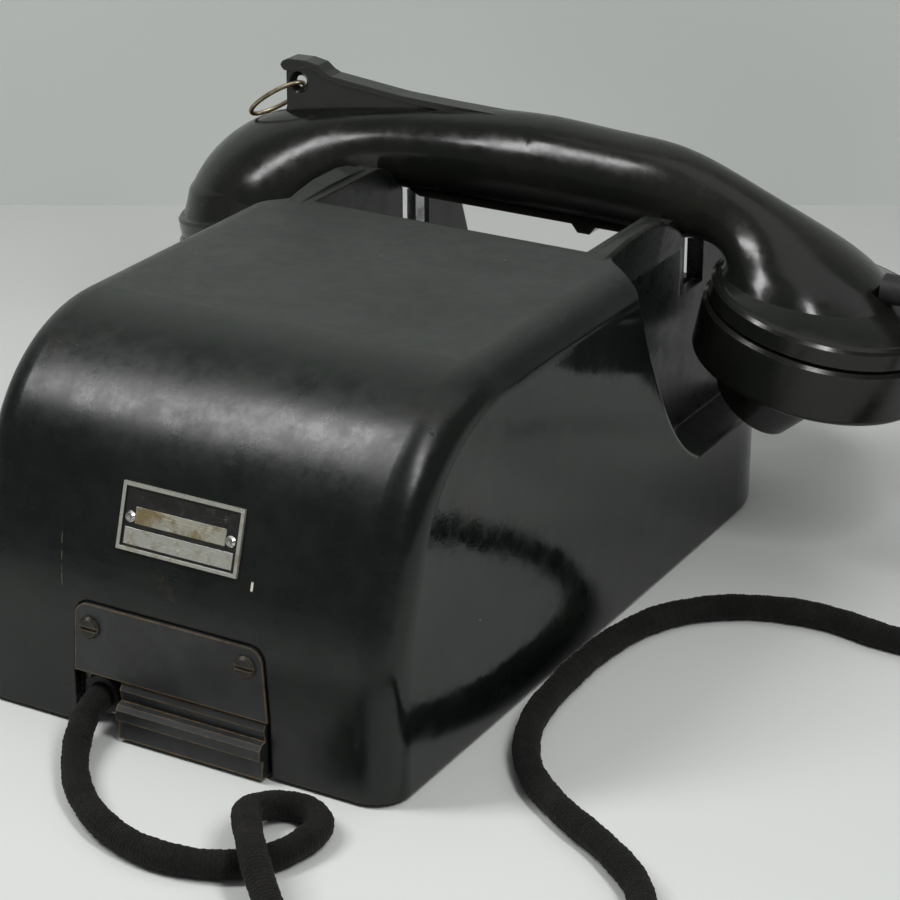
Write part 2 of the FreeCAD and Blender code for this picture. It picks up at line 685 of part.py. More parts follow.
def make_cord_cover():
    body = new_body("cover")
    corners = [
        ("-cover_half - 0.4", "cover_low"), ("cover_half + 0.4", "cover_low"),
        ("cover_half - 0.6", f"cover_top - {COVER_CORNER}"),
        (f"cover_half - 0.6 - {COVER_CORNER}", "cover_top", COVER_CORNER, 1),
        (f"-cover_half + 0.6 + {COVER_CORNER}", "cover_top"),
        ("-cover_half + 0.6", f"cover_top - {COVER_CORNER}", COVER_CORNER, 1),
    ]
    pad(body, outline(body, "cover_face", "XZ_Plane", corners), "cover_thick")
    place(body, y=f"{BACK} + 0.6 - cover_thick / 2")
    holes = [rod(f"cover_hole{i}", "1.7", "20", x, f"{BACK} - 10", z, "y")
             for i, (x, z) in enumerate(COVER_SCREWS)]
    return keep("cord_cover_plate", cut("cover_done", body, holes))


COVER_CORNER = "4"
COVER_SCREWS = [("cover_half - 5", "29.2"), ("-cover_half + 5.6", "30.2")]


def make_cover_screws():
    screws = []
    for i, (x, z) in enumerate(COVER_SCREWS):
        piece = screw(f"cover_screw{i}", "3", "1.2", "1.5", "8")
        screws.append(place(piece, x, f"{BACK} + 0.6", z, (1, 0, 0), "-90"))
    return keep("cord_cover_screws", group("cover_screw_group", screws))


def make_clamp():
    """Ribbed block that grips the cord under the cover plate."""
    body = new_body("clamp")
    y0 = f"({BACK} - wall - 1.6)"
    y1 = f"({BACK} + clamp_proud)"
    corners = [
        (y0, "rim_gap"), (f"{y1} - 2", "rim_gap"), (f"{y1} - 2.6", "rim_gap + 4.8"),
        (f"{y1} - 1.2", "rim_gap + 5.4"), (f"{y1} - 1.2", "rim_gap + 8.2"), (f"{y1} - 2.2", "rim_gap + 9.4"),
        (f"{y1} - 4", "rim_gap + 9.8"), (f"{y1} - 3.4", "clamp_top - 1.6"), (f"{y1} - 4.4", "clamp_top"),
        (y0, "clamp_top"),
    ]
    pad(body, outline(body, "clamp_side", "YZ_Plane", corners), "clamp_left - clamp_right")
    place(body, x="(clamp_left + clamp_right) / 2")
    hole = rod("clamp_hole", "1.6", "17", "(clamp_left + clamp_right) / 2", f"{BACK} - 15", "8", "y")
    return keep("cord_clamp_block", cut("clamp_done", body, [hole]))


def make_clamp_screw():
    # driven from the inside, through the bracket
    piece = screw("clamp_screw_piece", "2.6", "1.2", "1.5", "8")
    place(piece, "(clamp_left + clamp_right) / 2", f"{BACK} - wall - 3.4", "8", (1, 0, 0), "90")
    return keep("clamp_screw", piece)


def make_cord_bracket():
    """Steel angle inside the recess that carries the cover plate and the clamp block."""
    y0 = f"({BACK} - wall - 3.4)"
    upright = block("bracket_upright", "2 * recess_half + 8", "1.6", "36", "-recess_half - 4", y0, BASE_TOP)
    foot = block("bracket_foot", "2 * recess_half + 8", "12", "1.6", "-recess_half - 4", f"{y0} - 12 + 1.6",
                 BASE_TOP)
    holes = [rod("bracket_cord_hole", "cord_r + 1", "10", "cord_exit_x", f"{y0} - 4", "cord_exit_z", "y")]
    holes += [rod(f"bracket_hole{i}", "1.6", "10", x, f"{y0} - 4", z, "y")
              for i, (x, z) in enumerate(COVER_SCREWS)]
    holes.append(rod("bracket_clamp_hole", "1.6", "10", "(clamp_left + clamp_right) / 2", f"{y0} - 4", "8",
                     "y"))
    return keep("cord_bracket", cut("bracket_done", fuse("bracket_blank", [upright, foot]), holes))


def plate_frame(obj, u="0", out="0"):
    """Put a piece made on the XY plane on the leaning back, +Z outward."""
    along = "plate_up"
    y = f"{BACK} - {along} * sin(back_lean) + ({out}) * cos(back_lean)"
    z = f"back_break + {along} * cos(back_lean) + ({out}) * sin(back_lean)"
    return place(obj, f"plate_x + {u}", y, z, (1, 0, 0), "-(90 - back_lean)")


def make_type_plate():
    """Bare plate: a raised border, a dark field and two pale bars, no text."""
    blank = block("plate_blank", "plate_width", "plate_height", "plate_thick",
                  "-plate_width / 2", "-plate_height / 2", "0")
    field = block("plate_field", "plate_width - 2.4", "plate_height - 2.4", "1",
                  "-plate_width / 2 + 1.2", "-plate_height / 2 + 1.2", "plate_thick - 0.25")
    holes = [rod(f"plate_hole{i}", "1", "4", x, "0", "-1") for i, x in enumerate(RIVETS)]
    bars = [block(f"plate_bar{i}", "plate_width - 9", "plate_height * 0.24", "0.12",
                  "-plate_width / 2 + 4.5", f"plate_height * {share}", "plate_thick - 0.27")
            for i, share in enumerate(("-0.08", "-0.4"))]
    plate = cut("plate_cut", blank, [field] + holes)
    return keep("type_plate", plate_frame(fuse("plate_done", [plate] + bars), out="0.05"))


RIVETS = ("plate_width / 2 - 3", "-plate_width / 2 + 3")


def make_rivets():
    rivets = []
    for i, x in enumerate(RIVETS):
        rivet = turned(f"rivet{i}", [("0", "-2"), ("0.9", "-2"), ("0.9", "plate_thick - 0.2"),
                                     ("1.5", "plate_thick - 0.2"), ("1", "plate_thick + 0.4"),
                                     ("0", "plate_thick + 0.5")])
        rivets.append(plate_frame(rivet, x, "0.05"))
    return keep("type_plate_rivets", group("rivet_group", rivets))


# Ringer: a frame with two coils, an armature with its clapper, and two gongs on posts
RING_Y = "gong_y"
COIL_X = ("-13", "13")
COIL_TOP = f"({BASE_TOP} + 3 + 36)"


def make_ringer_frame():
    foot = block("ringer_foot", "52", "26", "3", "-26", f"{RING_Y} - 13", BASE_TOP)
    cores = [rod(f"core{i}", "4", "38", x, RING_Y, f"{BASE_TOP} + 1") for i, x in enumerate(COIL_X)]
    cheeks = [block(f"yoke_cheek{i}", "8", "3", "45", "-4", f"{RING_Y} + {y}", BASE_TOP)
              for i, y in enumerate(("10", "-13"))]
    bore = rod("yoke_bore", "1.3", "40", "0", f"{RING_Y} - 20", f"{COIL_TOP} + 3.5", "y")
    return keep("ringer_frame", cut("yoke_done", fuse("yoke", [foot] + cores + cheeks), [bore]))


def make_ringer_coils():
    coils = []
    for i, x in enumerate(COIL_X):
        spool = turned(f"coil{i}", [
            ("4.1", "0"), ("9.5", "0"), ("9.5", "1.5"), ("8.6", "1.5"), ("8.6", "32.5"), ("9.5", "32.5"),
            ("9.5", "34"), ("4.1", "34"),
        ])
        coils.append(place(spool, x, RING_Y, f"{BASE_TOP} + 3.1"))
    return keep("ringer_coils", group("coil_group", coils))


def make_clapper():
    """Armature on its pin with the clapper rod and ball between the gongs."""
    z = f"({COIL_TOP} + 3.5)"
    arm = block("armature", "34", "8", "2", "-17", f"{RING_Y} - 4", f"{z} - 1")
    hub = rod("armature_hub", "2.4", "12", "0", f"{RING_Y} - 6", z, "y")
    stem = rod("clapper_stem", "1", "gong_z + 4 - (" + z + ")", "0", RING_Y, z)
    head = ball("clapper_ball", "clapper_ball_r", "0", RING_Y, "gong_z + 4")
    bore = rod("hub_bore", "1.05", "30", "0", f"{RING_Y} - 15", z, "y")
    return keep("clapper", cut("clapper_done", fuse("clapper_blank", [arm, hub, stem, head]), [bore]))


def make_clapper_pin():
    z = f"({COIL_TOP} + 3.5)"
    return keep("clapper_pin", rod("clapper_pin_rod", "1", "27", "0", f"{RING_Y} - 13.5", z, "y"))


def make_gong(sx):
    side = "left" if sx > 0 else "right"
    gong = turned(f"gong_{side}_body", [
        ("2.6", "gong_height - 1.6"), ("gong_r * 0.55", "gong_height - 1.6"),
        ("gong_r - 1.6", "gong_height * 0.4", "gong_r * 0.75", -1), ("gong_r - 1.6", "0"), ("gong_r", "0"),
        ("gong_r", "gong_height * 0.4"), ("gong_r * 0.55", "gong_height", "gong_r * 0.75", 1),
        ("2.6", "gong_height"),
    ])
    return keep(f"gong_{side}", place(gong, f"{sx} * gong_x", "gong_y", "gong_z"))


def make_gong_posts():
    posts = []
    for sx in (1, -1):
        seat = "(gong_z + gong_height - 1.6 - 0.1)"
        post = fuse(f"post{sx + 1}", [
            rod(f"post_low{sx + 1}", "4", f"{seat} - {BASE_TOP}", f"{sx} * gong_x", "gong_y", BASE_TOP),
            rod(f"post_neck{sx + 1}", "2.4", "1.9", f"{sx} * gong_x", "gong_y", seat),
        ])
        posts.append(post)
    return keep("gong_posts", group("post_group", posts))


def make_gong_screws():
    screws = []
    for sx in (1, -1):
        head = turned(f"gong_screw{sx + 1}", [("0", "0"), ("5", "0"), ("5", "1"), ("3.2", "2.6"),
                                              ("0", "2.6")])
        screws.append(place(head, f"{sx} * gong_x", "gong_y", "gong_z + gong_height + 0.2"))
    return keep("gong_screws", group("gong_screw_group", screws))


def make_induction_coil():
    spool = turned("induction_spool", [
        ("0", "0"), ("14", "0"), ("14", "2"), ("12", "2"), ("12", "46"), ("14", "46"), ("14", "48"),
        ("0", "48"),
    ])
    place(spool, "-24", "14", f"{BASE_TOP} + 18", (0, 1, 0), "90")
    stand = [block(f"coil_stand{i}", "2", "20", "16", x, "4", BASE_TOP)
             for i, x in enumerate(("-26.2", "24.2"))]
    rails = block("coil_rail", "52.4", "20", "1.6", "-26.2", "4", BASE_TOP)
    core = rod("coil_core", "3", "52.4", "-26.2", "14", f"{BASE_TOP} + 13", "x")
    keep("induction_coil_stand", fuse("coil_stand_done", stand + [rails]))
    return keep("induction_coil", cut("coil_done", spool, [core]))


def make_condenser():
    can = block("condenser_can", "14", "46", "40", "-52", "-16", BASE_TOP)
    lugs = [rod(f"condenser_lug{i}", "1.5", "5", "-45", y, f"{BASE_TOP} + 39")
            for i, y in enumerate(("0", "16"))]
    return keep("condenser", fuse("condenser_done", [can] + lugs))


def make_terminals():
    y0 = f"({BACK} - wall - 32)"
    strip = block("terminal_blank", "64", "14", "11", "-32", y0, BASE_TOP)
    holes = [rod(f"terminal_hole{i}", "1.6", "20", str(x), f"{y0} + 7", f"{BASE_TOP} + 3")
             for i, x in enumerate(TERMINALS)]
    keep("terminal_block", cut("terminal_done", strip, holes))
    screws = []
    for i, x in enumerate(TERMINALS):
        piece = screw(f"terminal_screw{i}", "3.2", "2", "1.5", "7")
        screws.append(place(piece, str(x), f"{y0} + 7", f"{BASE_TOP} + 11"))
    return keep("terminal_screws", group("terminal_screw_group", screws))


TERMINALS = (-26, -15.6, -5.2, 5.2, 15.6, 26)


# Cradle switch: the fork's two blades stand in the ear slots and carry the handset
def make_fork():
    inner = "(blade_x - blade_width / 2)"
    top = "(handle_z - handle_sag - handle_seat_r - 0.3)"
    pieces = []
    for sx in (1, -1):
        x0 = inner if sx > 0 else f"-({inner}) - blade_width"
        pieces.append(block(f"blade{sx + 1}", "blade_width", "blade_thick", f"{top} - pivot_z + 4", x0,
                            "handle_y - blade_thick / 2", "pivot_z - 4"))
        pieces.append(block(f"fork_arm{sx + 1}", "blade_width", "pivot_y - handle_y + 6", "8", x0,
                            "handle_y - blade_thick / 2", "pivot_z - 4"))
    pieces.append(block("fork_bridge", "2 * blade_x", "5", "8", "-blade_x", "pivot_y - 14", "pivot_z - 4"))
    bore = rod("fork_bore", "pivot_r + 0.06", "200", "-100", "pivot_y", "pivot_z", "x")
    return keep("cradle_fork", cut("fork_done", fuse("fork_blank", pieces), [bore]))


def make_fork_bracket():
    """Stand with two uprights that carry the fork shaft."""
    x = "(blade_x - blade_width / 2 - 4)"
    ups = [block(f"fork_upright{i}", "2.5", "12", f"pivot_z + 6 - {BASE_TOP}", x0, "pivot_y - 6", BASE_TOP)
           for i, x0 in enumerate((x, f"-({x}) - 2.5"))]
    foot = block("fork_foot", f"2 * {x} + 5", "12", "1.6", f"-({x}) - 2.5", "pivot_y - 6", BASE_TOP)
    bore = rod("fork_stand_bore", "pivot_r + 0.02", "200", "-100", "pivot_y", "pivot_z", "x")
    keep("fork_bracket", cut("fork_bracket_done", fuse("fork_bracket_blank", ups + [foot]), [bore]))
    reach = "(blade_x + blade_width / 2 - 0.2)"
    return keep("fork_shaft", rod("fork_shaft_rod", "pivot_r", f"2 * {reach}", f"-{reach}", "pivot_y",
                                  "pivot_z", "x"))


def make_contact_springs():
    """Stack of leaf contacts that the fork's bridge works."""
    z = "(pivot_z - 20)"
    post = block("contact_post", "14", "8", f"{z} - {BASE_TOP}", "-7", "-8", BASE_TOP)
    pile = block("contact_pile", "14", "8", "14", "-7", "-8", z)
    keep("contact_block", fuse("contact_block_done", [post, pile]))
    leaves = [block(f"leaf{i}", "2.5", "26", "0.5", str(-6 + 4.6 * (i % 3)), "-34.1",
                    f"{z} + {2 + 3 * (i // 3)}")
              for i in range(9)]
    return keep("contact_springs", group("leaf_group", leaves))


# Dial: ring, number plate, case, finger wheel, stop, gear and governor
def make_dial_static():
    ring = turned("ring_half", [
        ("dial_case_r + 2", "fit_gap"), ("dial_ring_r", "fit_gap"), ("dial_ring_r", "2"),
        ("dial_ring_r - 1.5", "3.4"), ("dial_case_r + 2", "3.4"),
    ])
    keep("dial_ring", dial_frame(ring))
    plate = turned("number_half", [("4", "2.4"), ("dial_case_r + 1.8", "2.4"), ("dial_case_r + 1.8", "3.4"),
                                   ("4", "3.4")])
    keep("number_plate", dial_frame(plate))
    case = turned("case_half", [
        ("4", "-dial_case_depth"), ("dial_case_r", "-dial_case_depth"), ("dial_case_r", "2.3"), ("4", "2.3"),
        ("4", "0.6"), ("dial_case_r - 1.6", "0.6"), ("dial_case_r - 1.6", "-dial_case_depth + 1.6"),
        ("4", "-dial_case_depth + 1.6"),
    ])
    hole = rod("governor_bore", "1.1", "10", "15", "0", "-dial_case_depth - 2")
    keep("dial_case", dial_frame(cut("case_done", case, [hole])))


def make_finger_wheel():
    """Wheel with ten finger holes, its hub, shaft and drive gear."""
    disc = turned("wheel_half", [("0", "7"), ("dial_wheel_r - 0.8", "7"), ("dial_wheel_r", "7.8"),
                                 ("dial_wheel_r", "8.6"), ("dial_wheel_r - 1.2", "9.4"), ("0", "9.4")])
    holes = []
    for i in range(10):
        angle = 30 + 30 * i
        holes.append(rod(f"finger{i}", "finger_hole_r", "20", f"finger_pitch_r * cos({angle})",
                         f"finger_pitch_r * sin({angle})", "0"))
    wheel = cut("wheel_holes", disc, holes)
    hub = rod("wheel_hub", "9", "3.4", z="3.7")
    shaft = rod("wheel_shaft", "3.6", "dial_case_depth + 6", z="-dial_case_depth - 1")
    gear = rod("wheel_gear", "11", "2", z="-8")
    keep("dial_wheel", dial_frame(fuse("wheel_done", [wheel, hub, shaft, gear])))
    badge = turned("badge_half", [("0", "9.6"), ("14", "9.6"), ("14", "10.2"), ("12.6", "10.8"),
                                  ("0", "10.8")])
    return keep("dial_centre_disc", dial_frame(badge))


def make_finger_stop():
    """Hook over the wheel rim, screwed to the ring."""
    angle = "-30"
    foot = block("stop_foot", "5", "4", "7.5", "dial_wheel_r - 0.4 + 0.8", "-2", "3.5")
    finger = block("stop_finger", "13", "4", "1.4", "dial_wheel_r - 7.6", "-2", "11")
    joined = fuse("stop_done", [foot, finger])
    turned_stop = group("stop_turned", [place(joined, "0", "0", "0", (0, 0, 1), angle)])
    return keep("finger_stop", dial_frame(turned_stop))


def make_governor():
    """Fly governor turned by the drive gear, parallel to the dial axis."""
    shaft = rod("governor_shaft", "1", "dial_case_depth - 1", "15", "0", "-dial_case_depth - 0.4")
    pinion = rod("governor_pinion", "3.7", "2", "15", "0", "-8")
    weights = rod("governor_weights", "6", "4", "15", "0", "-dial_case_depth + 3")
    return keep("dial_governor", dial_frame(fuse("governor_done", [shaft, pinion, weights])))


# Handset: bells, arched handle, hanging fin, caps and capsules
# Loft circles of a bell as inner and outer point (distance from the middle plane, height)
MOUTH_POINTS = [
    ((59.4, 80), (119.4, 67)), ((59.8, 83), (105.6, 79.4)), ((58, 86.2), (91.3, 90.4)),
    ((52, 86.4), (69.2, 101.6)),
]
EAR_POINTS = [
    ((59.4, 80), (119.2, 70)), ((59.4, 83.5), (114.6, 84.4)), ((57.4, 86.6), (99.2, 98.6)),
    ((51.4, 87), (72.5, 106.2)),
]


def ring_through(name, side, inner, outer):
    """Circle whose diameter runs from the inner to the outer point, square to the middle plane."""
    (xi, zi), (xo, zo) = inner, outer
    grow = "cap_spacing / 180"
    dx = f"({xo} - {xi}) * {grow}"
    dz = f"({zo} - {zi})"
    obj = DOC.addObject("Part::Circle", name)
    tie(obj, "Radius", f"sqrt(({dx}) ^ 2 + {dz} ^ 2) / 2")
    tilt = f"atan2({dz}; {dx}) / 1 deg"
    lean = f"180 - {tilt}" if side > 0 else tilt
    place(obj, f"{side} * ({xi} + {xo}) / 2 * {grow}", "handle_y", f"({zi} + {zo}) / 2 + flange_z - 75",
          (0, 1, 0), lean)
    return obj


def make_arch(side, points):
    """Half of the handle with its bell, lofted through circles from the bell to mid length."""
    tag = "ear" if side > 0 else "mouth"
    rings = [ring_through(f"{tag}_ring{i}", side, *pair) for i, pair in enumerate(points)]
    middle = [("45", "handle_sag", "handle_seat_r", 4), ("26", "handle_sag * 0.4", "handle_r - 0.5", 3.5),
              ("3", "0", "handle_r", 0.4), ("0", "0", "handle_r", 0)]
    for i, (x, drop, r, lean) in enumerate(middle):
        ring = DOC.addObject("Part::Circle", f"{tag}_handle{i}")
        tie(ring, "Radius", r)
        rings.append(place(ring, f"{side} * {x} * cap_spacing / 180", "handle_y", f"handle_z - {drop}",
                           (0, 1, 0), str(90 + side * lean)))
    loft = DOC.addObject("Part::Loft", f"{tag}_arch")
    loft.Sections = rings
    loft.Solid = True
    loft.Ruled = False
    return loft


def cap_frame(obj, side, down="0"):
    """Put a piece made about +Z on a cap axis; its z=0 plane is the flange face, +Z points down."""
    # the cap axis leans inward, so its lower end is nearer the middle plane
    lean = f"180 + {side} * cap_lean"
    x = f"{side} * (cap_spacing / 2 - ({down}) * sin(cap_lean))"
    return place(obj, x, "handle_y", f"flange_z - ({down}) * cos(cap_lean)", (0, 1, 0), lean)


def make_handset_shell():
    pieces = [make_arch(-1, MOUTH_POINTS), make_arch(1, EAR_POINTS)]
    bores = []
    for side in (1, -1):
        tag = "ear" if side > 0 else "mouth"
        dome = [("0", "-ear_bowl"), ("flange_r * 0.5", "-ear_bowl + 0.8"),
                ("flange_r - 5.2", "-ear_bowl * 0.5", "ear_bowl * 1.3", 1)]
        if side < 0:
            dome = [("0", "-mouth_bowl"), ("flange_r * 0.42", "-mouth_bowl"),
                    ("flange_r - 2.4", "-0.9", "mouth_bowl * 11", 1)]
        flange = turned(f"{tag}_flange", dome + [
            ("flange_r - 2", "-0.6"),
            ("flange_r - 0.8", "-0.4"), ("flange_r", "0.5"), ("flange_r", "flange_thick - 0.6"),
            ("flange_r - 0.6", "flange_thick"), ("0", "flange_thick"),
        ])
        pieces.append(cap_frame(flange, side))
        bore = rod(f"{tag}_bore", "bell_bore_r", "bell_bore_depth + 20")
        bores.append(cap_frame(bore, side, "flange_thick - bell_bore_depth"))
    # fin with its wider rim and the low pad at its foot
    crest = [("86.8", "116"), ("87.7", "116.7"), ("88.2", "117.7"), ("87.4", "118.9"), ("85.5", "119.8"),
             ("79.5", "120"), ("74.8", "119.2"), ("72.4", "117.3"), ("70.3", "116.4"), ("67.1", "116.1"),
             ("46.4", "114"), ("30", "113.4"), ("10", "113")]
    fin = new_body("fin")
    pad(fin, outline(fin, "fin_side", "XZ_Plane", [
        ("10", "104"), ("95.6", "88"), ("95.3", "98"), ("87.6", "101.4"), ("86.8", "105"),
    ] + crest), "fin_thick")
    pieces.append(place(fin, y="handle_y"))
    rim = new_body("fin_rim")
    pad(rim, outline(rim, "fin_rim_side", "XZ_Plane", crest + [
        ("10", "110"), ("43", "112.2"), ("67", "114.4"), ("72.4", "115.4"), ("75", "117"), ("78", "118"),
    ]), "fin_rim_width")
    pieces.append(place(rim, y="handle_y"))
    shell = fuse("handset_blank", pieces)
    bores.append(rod("fin_hole", "fin_hole_r", "20", "fin_hole_x", "handle_y - 10", "fin_hole_z", "y"))
    for i, (r1, r2, y) in enumerate((("fin_hole_r - 0.2", "fin_hole_r + 1.8", "0"),
                                     ("fin_hole_r + 1.8", "fin_hole_r - 0.2", "-2"))):
        bores.append(cone(f"fin_sink{i}", r1, r2, "2", "fin_hole_x", f"handle_y + {y}", "fin_hole_z", "y"))
    bores.append(block("bar_groove", "2 * bar_half + 2 * running_gap + 0.4", "bar_width + 2 * running_gap",
                       "bar_height + bar_travel_gap + 5", "-bar_half - running_gap - 0.2",
                       "handle_y - bar_width / 2 - running_gap", "bar_low_z - 5"))
    bores.append(rod("collar_bore", "collar_r + 0.05", "30", "-134", "handle_y", "collar_z", "x"))
    return keep("handset_shell", cut("handset_done", shell, bores))


def make_caps():
    seat = "(flange_thick + cap_gap)"
    face = f"({seat} + mouth_cap_depth)"
    mouth = turned("mouth_cap_half", [
        ("0", f"{face} - 3"), ("0", face), ("cap_r - 1.6", face), ("cap_r", f"{face} - 1.6", "1.6", -1),
        ("cap_r", f"{seat} + 0.9"), ("cap_r - 0.9", seat), ("bell_bore_r", seat),
        ("bell_bore_r", f"{face} - 3"),
    ])
    rings = []
    for i, (along, r, share) in enumerate((("-1", "20.5", "0"),
                                           ("horn_reach * 0.45", "horn_rim_r + 2.8", "0.6"),
                                           ("horn_reach", "horn_rim_r", "1"))):
        ring = DOC.addObject("Part::Circle", f"horn_ring{i}")
        tie(ring, "Radius", r)
        rings.append(place(ring, f"-5.4 - ({along}) * tan(horn_lean)", "0", f"{face} + ({along})", (0, 1, 0),
                           f"-({share}) * horn_lean"))
    horn = DOC.addObject("Part::Loft", "horn")
    horn.Sections = rings
    horn.Solid = True
    throat = DOC.addObject("Part::Cone", "horn_throat")
    tie(throat, "Radius1", "5")
    tie(throat, "Radius2", "horn_rim_r - 1.8")
    tie(throat, "Height", "(horn_reach + 4) / cos(horn_lean) + 0.4")
    place(throat, "-5.4 + 4 * tan(horn_lean)", "0", f"{face} - 4", (0, 1, 0), "-horn_lean")
    bored = cut("mouth_cap_done", fuse("mouth_cap_blank", [mouth, horn]), [throat])
    keep("mouthpiece_cap", cap_frame(bored, -1))

    ear_face = f"({seat} + ear_cap_depth)"
    ear = turned("ear_cap_half", [
        ("0", f"{ear_face} - 6"), ("10", f"{ear_face} - 5.6"), ("22", f"{ear_face} - 1"),
        ("cap_r - 1.6", ear_face), ("cap_r", f"{ear_face} - 1.6", "1.6", -1), ("cap_r", f"{seat} + 0.9"),
        ("cap_r - 0.9", seat), ("bell_bore_r", seat), ("bell_bore_r", f"{ear_face} - 8.6"),
        ("0", f"{ear_face} - 8.6"),
    ])
    holes = [rod("ear_hole_mid", "1.4", "30", z=seat)]
    for i in range(6):
        angle = 60 * i
        holes.append(rod(f"ear_hole{i}", "1.4", "30", f"5.5 * cos({angle})", f"5.5 * sin({angle})", seat))
    keep("earpiece_cap", cap_frame(cut("ear_cap_done", ear, holes), 1))


def make_capsules():
    for side, node in ((-1, "transmitter_capsule"), (1, "receiver_capsule")):
        can = turned(node + "_half", [
            ("0", "flange_thick - bell_bore_depth + fit_gap"),
            ("capsule_r - 4", "flange_thick - bell_bore_depth + fit_gap"),
            ("capsule_r - 2", "flange_thick - bell_bore_depth + 4"),
            ("capsule_r", "flange_thick - 1"), ("bell_bore_r - 0.1", "flange_thick - 1"),
            ("bell_bore_r - 0.1", "flange_thick + 1"), ("capsule_r", "flange_thick + 1"),
            ("capsule_r - 3", "flange_thick - bell_bore_depth + capsule_depth"),
            ("0", "flange_thick - bell_bore_depth + capsule_depth"),
        ])
        keep(node, cap_frame(can, side))


def make_talk_bar():
    """Push-to-talk lever in the underside of the handle."""
    body = new_body("bar")
    low = "bar_low_z"
    corners = [
        ("-bar_half", f"{low} + 1.4"), ("-bar_half + 3", low), ("-20.4", low), ("-18.4", f"{low} - 2.4"),
        ("-14.6", f"{low} - 2.4"), ("-12.6", low), ("bar_half - 3", low), ("bar_half", f"{low} + 1.4"),
        ("bar_half", f"{low} + bar_height"), ("-bar_half", f"{low} + bar_height"),
    ]
    pad(body, outline(body, "bar_side", "XZ_Plane", corners), "bar_width")
    place(body, y="handle_y")
    bore = rod("bar_bore", "1.06", "30", "bar_half - 5", "handle_y - 15", f"{low} + 3.4", "y")
    keep("talk_bar", cut("bar_done", body, [bore]))
    return keep("talk_bar_pin", rod("bar_pin", "1", "bar_width + 2 * running_gap - 0.04", "bar_half - 5",
                                    "handle_y - bar_width / 2 - running_gap + 0.02", f"{low} + 3.4", "y"))


def make_ring():
    """Oval wire ring through the fin, lying back on the bell."""
    oval = DOC.addObject("Part::Ellipse", "ring_path")
    tie(oval, "MajorRadius", "ring_half_length")
    tie(oval, "MinorRadius", "ring_half_width")
    profile = DOC.addObject("Part::Circle", "ring_wire")
    tie(profile, "Radius", "ring_wire_r")
    place(profile, "ring_half_length", "0", "0", (1, 0, 0), "90")
    sweep = DOC.addObject("Part::Sweep", "ring_sweep")
    sweep.Sections = [profile]
    sweep.Spine = (oval, ["Edge1"])
    sweep.Solid = True
    sweep.Frenet = False
    place(sweep, axis=(1, 0, 0), angle="ring_roll")
    rolled = group("ring_rolled", [sweep])
    x = "fin_hole_x + ring_half_length * cos(ring_lean)"
    z = "fin_hole_z - 0.5 - ring_half_length * sin(ring_lean)"
    return keep("hanging_ring", place(rolled, x, "handle_y", z, (0, 1, 0), "ring_lean"))


def make_collar():
    # closed at its outer end: the cord's tube stops just short of it, so that the handset can lift away
    collar = turned("collar_half", [
        ("0", "0"), ("collar_r", "0"), ("collar_r", "14"), ("collar_r + 0.9", "14.6"),
        ("collar_r + 0.9", "17.4"), ("cord_r + 1", "19.6"), ("0", "19.6"),
    ])
    return keep("cord_collar", place(collar, "collar_end_x + 19.6", "handle_y", "collar_z", (0, 1, 0),
                                     "-90"))


def make_cord_gland():
    """Rubber bush in the recess that the cord passes through."""
    bush = turned("gland_half", [("cord_r + 0.05", "0"), ("cord_r + 0.9", "0"), ("cord_r + 0.9", "2.4"),
                                 ("cord_r + 2.2", "2.4"), ("cord_r + 1.6", "4.4"), ("cord_r + 0.05", "4.4")])
    y = f"{BACK} - wall - 3.8"
    return keep("cord_gland", place(bush, "cord_exit_x", y, "cord_exit_z", (1, 0, 0), "-90"))


# The cord's route, chosen by hand: from the gland, in a loop behind the back, round the -X side and
# up to the handset's collar
CORD_ROUTE = [
    (23, 112.5, 9), (23, 121.5, 9), (20.3, 131.5, 5.6), (13, 143.5, 3.6), (2.5, 154.5, 3.6), (-11, 163, 3.6),
    (-26.5, 167, 3.6), (-42.5, 164, 3.6), (-51.8, 155, 3.6), (-54.6, 145, 3.6), (-54.4, 137, 3.6),
    (-49.8, 132.2, 3.6), (-43.2, 132, 3.8), (-38.4, 136.6, 4.6), (-38.4, 143.6, 7.2), (-42.8, 151.6, 11),
    (-49.6, 160.2, 11.6), (-57.6, 169, 9.4), (-68, 178, 4.6), (-86, 185, 3.6), (-110, 184.5, 3.6),
    (-130, 171.5, 3.6), (-140.5, 150, 3.6), (-135, 127, 3.6), (-118, 112.5, 3.6), (-99, 102.5, 3.6),
    (-82.5, 89, 3.6), (-72, 67.5, 3.6), (-69.6, 42, 3.6), (-69.8, 18, 3.6), (-75.5, -3.5, 3.6),
    (-91, -18.5, 3.6), (-113, -24.5, 3.6), (-136, -19, 3.6), (-157, -23.5, 3.6), (-172, -37, 3.6),
    (-177.5, -53.5, 5.5), (-177, -66, 15), (-173.5, -72.2, 31), (-168.5, -73.5, 49), (-160.5, -73.2, 66.5),
    (-145, -73, 80.2), (-126.3, -73, 80.8),
]


def rounded_path(points):
    """Straight runs joined by tangent arcs; the radii are printed."""
    spots = [V(*p) for p in points]
    edges, radii = [], []
    here = spots[0]
    for before, corner, after in zip(spots, spots[1:], spots[2:]):
        way_in = (corner - before).normalize()
        way_out = (after - corner).normalize()
        turn = way_in.getAngle(way_out)
        tangent = 0.45 * min((corner - before).Length, (after - corner).Length)
        start = corner - way_in * tangent
        end = corner + way_out * tangent
        inward = (way_out - way_in).normalize()
        half = turn / 2
        radius = tangent / math.tan(half)
        middle = corner + inward * (radius / math.cos(half) - radius)
        edges.append(Part.LineSegment(here, start).toShape())
        edges.append(Part.Arc(start, middle, end).toShape())
        radii.append(round(radius, 1))
        here = end
    edges.append(Part.LineSegment(here, spots[-1]).toShape())
    print("cord radii", radii)
    return Part.Wire(edges)


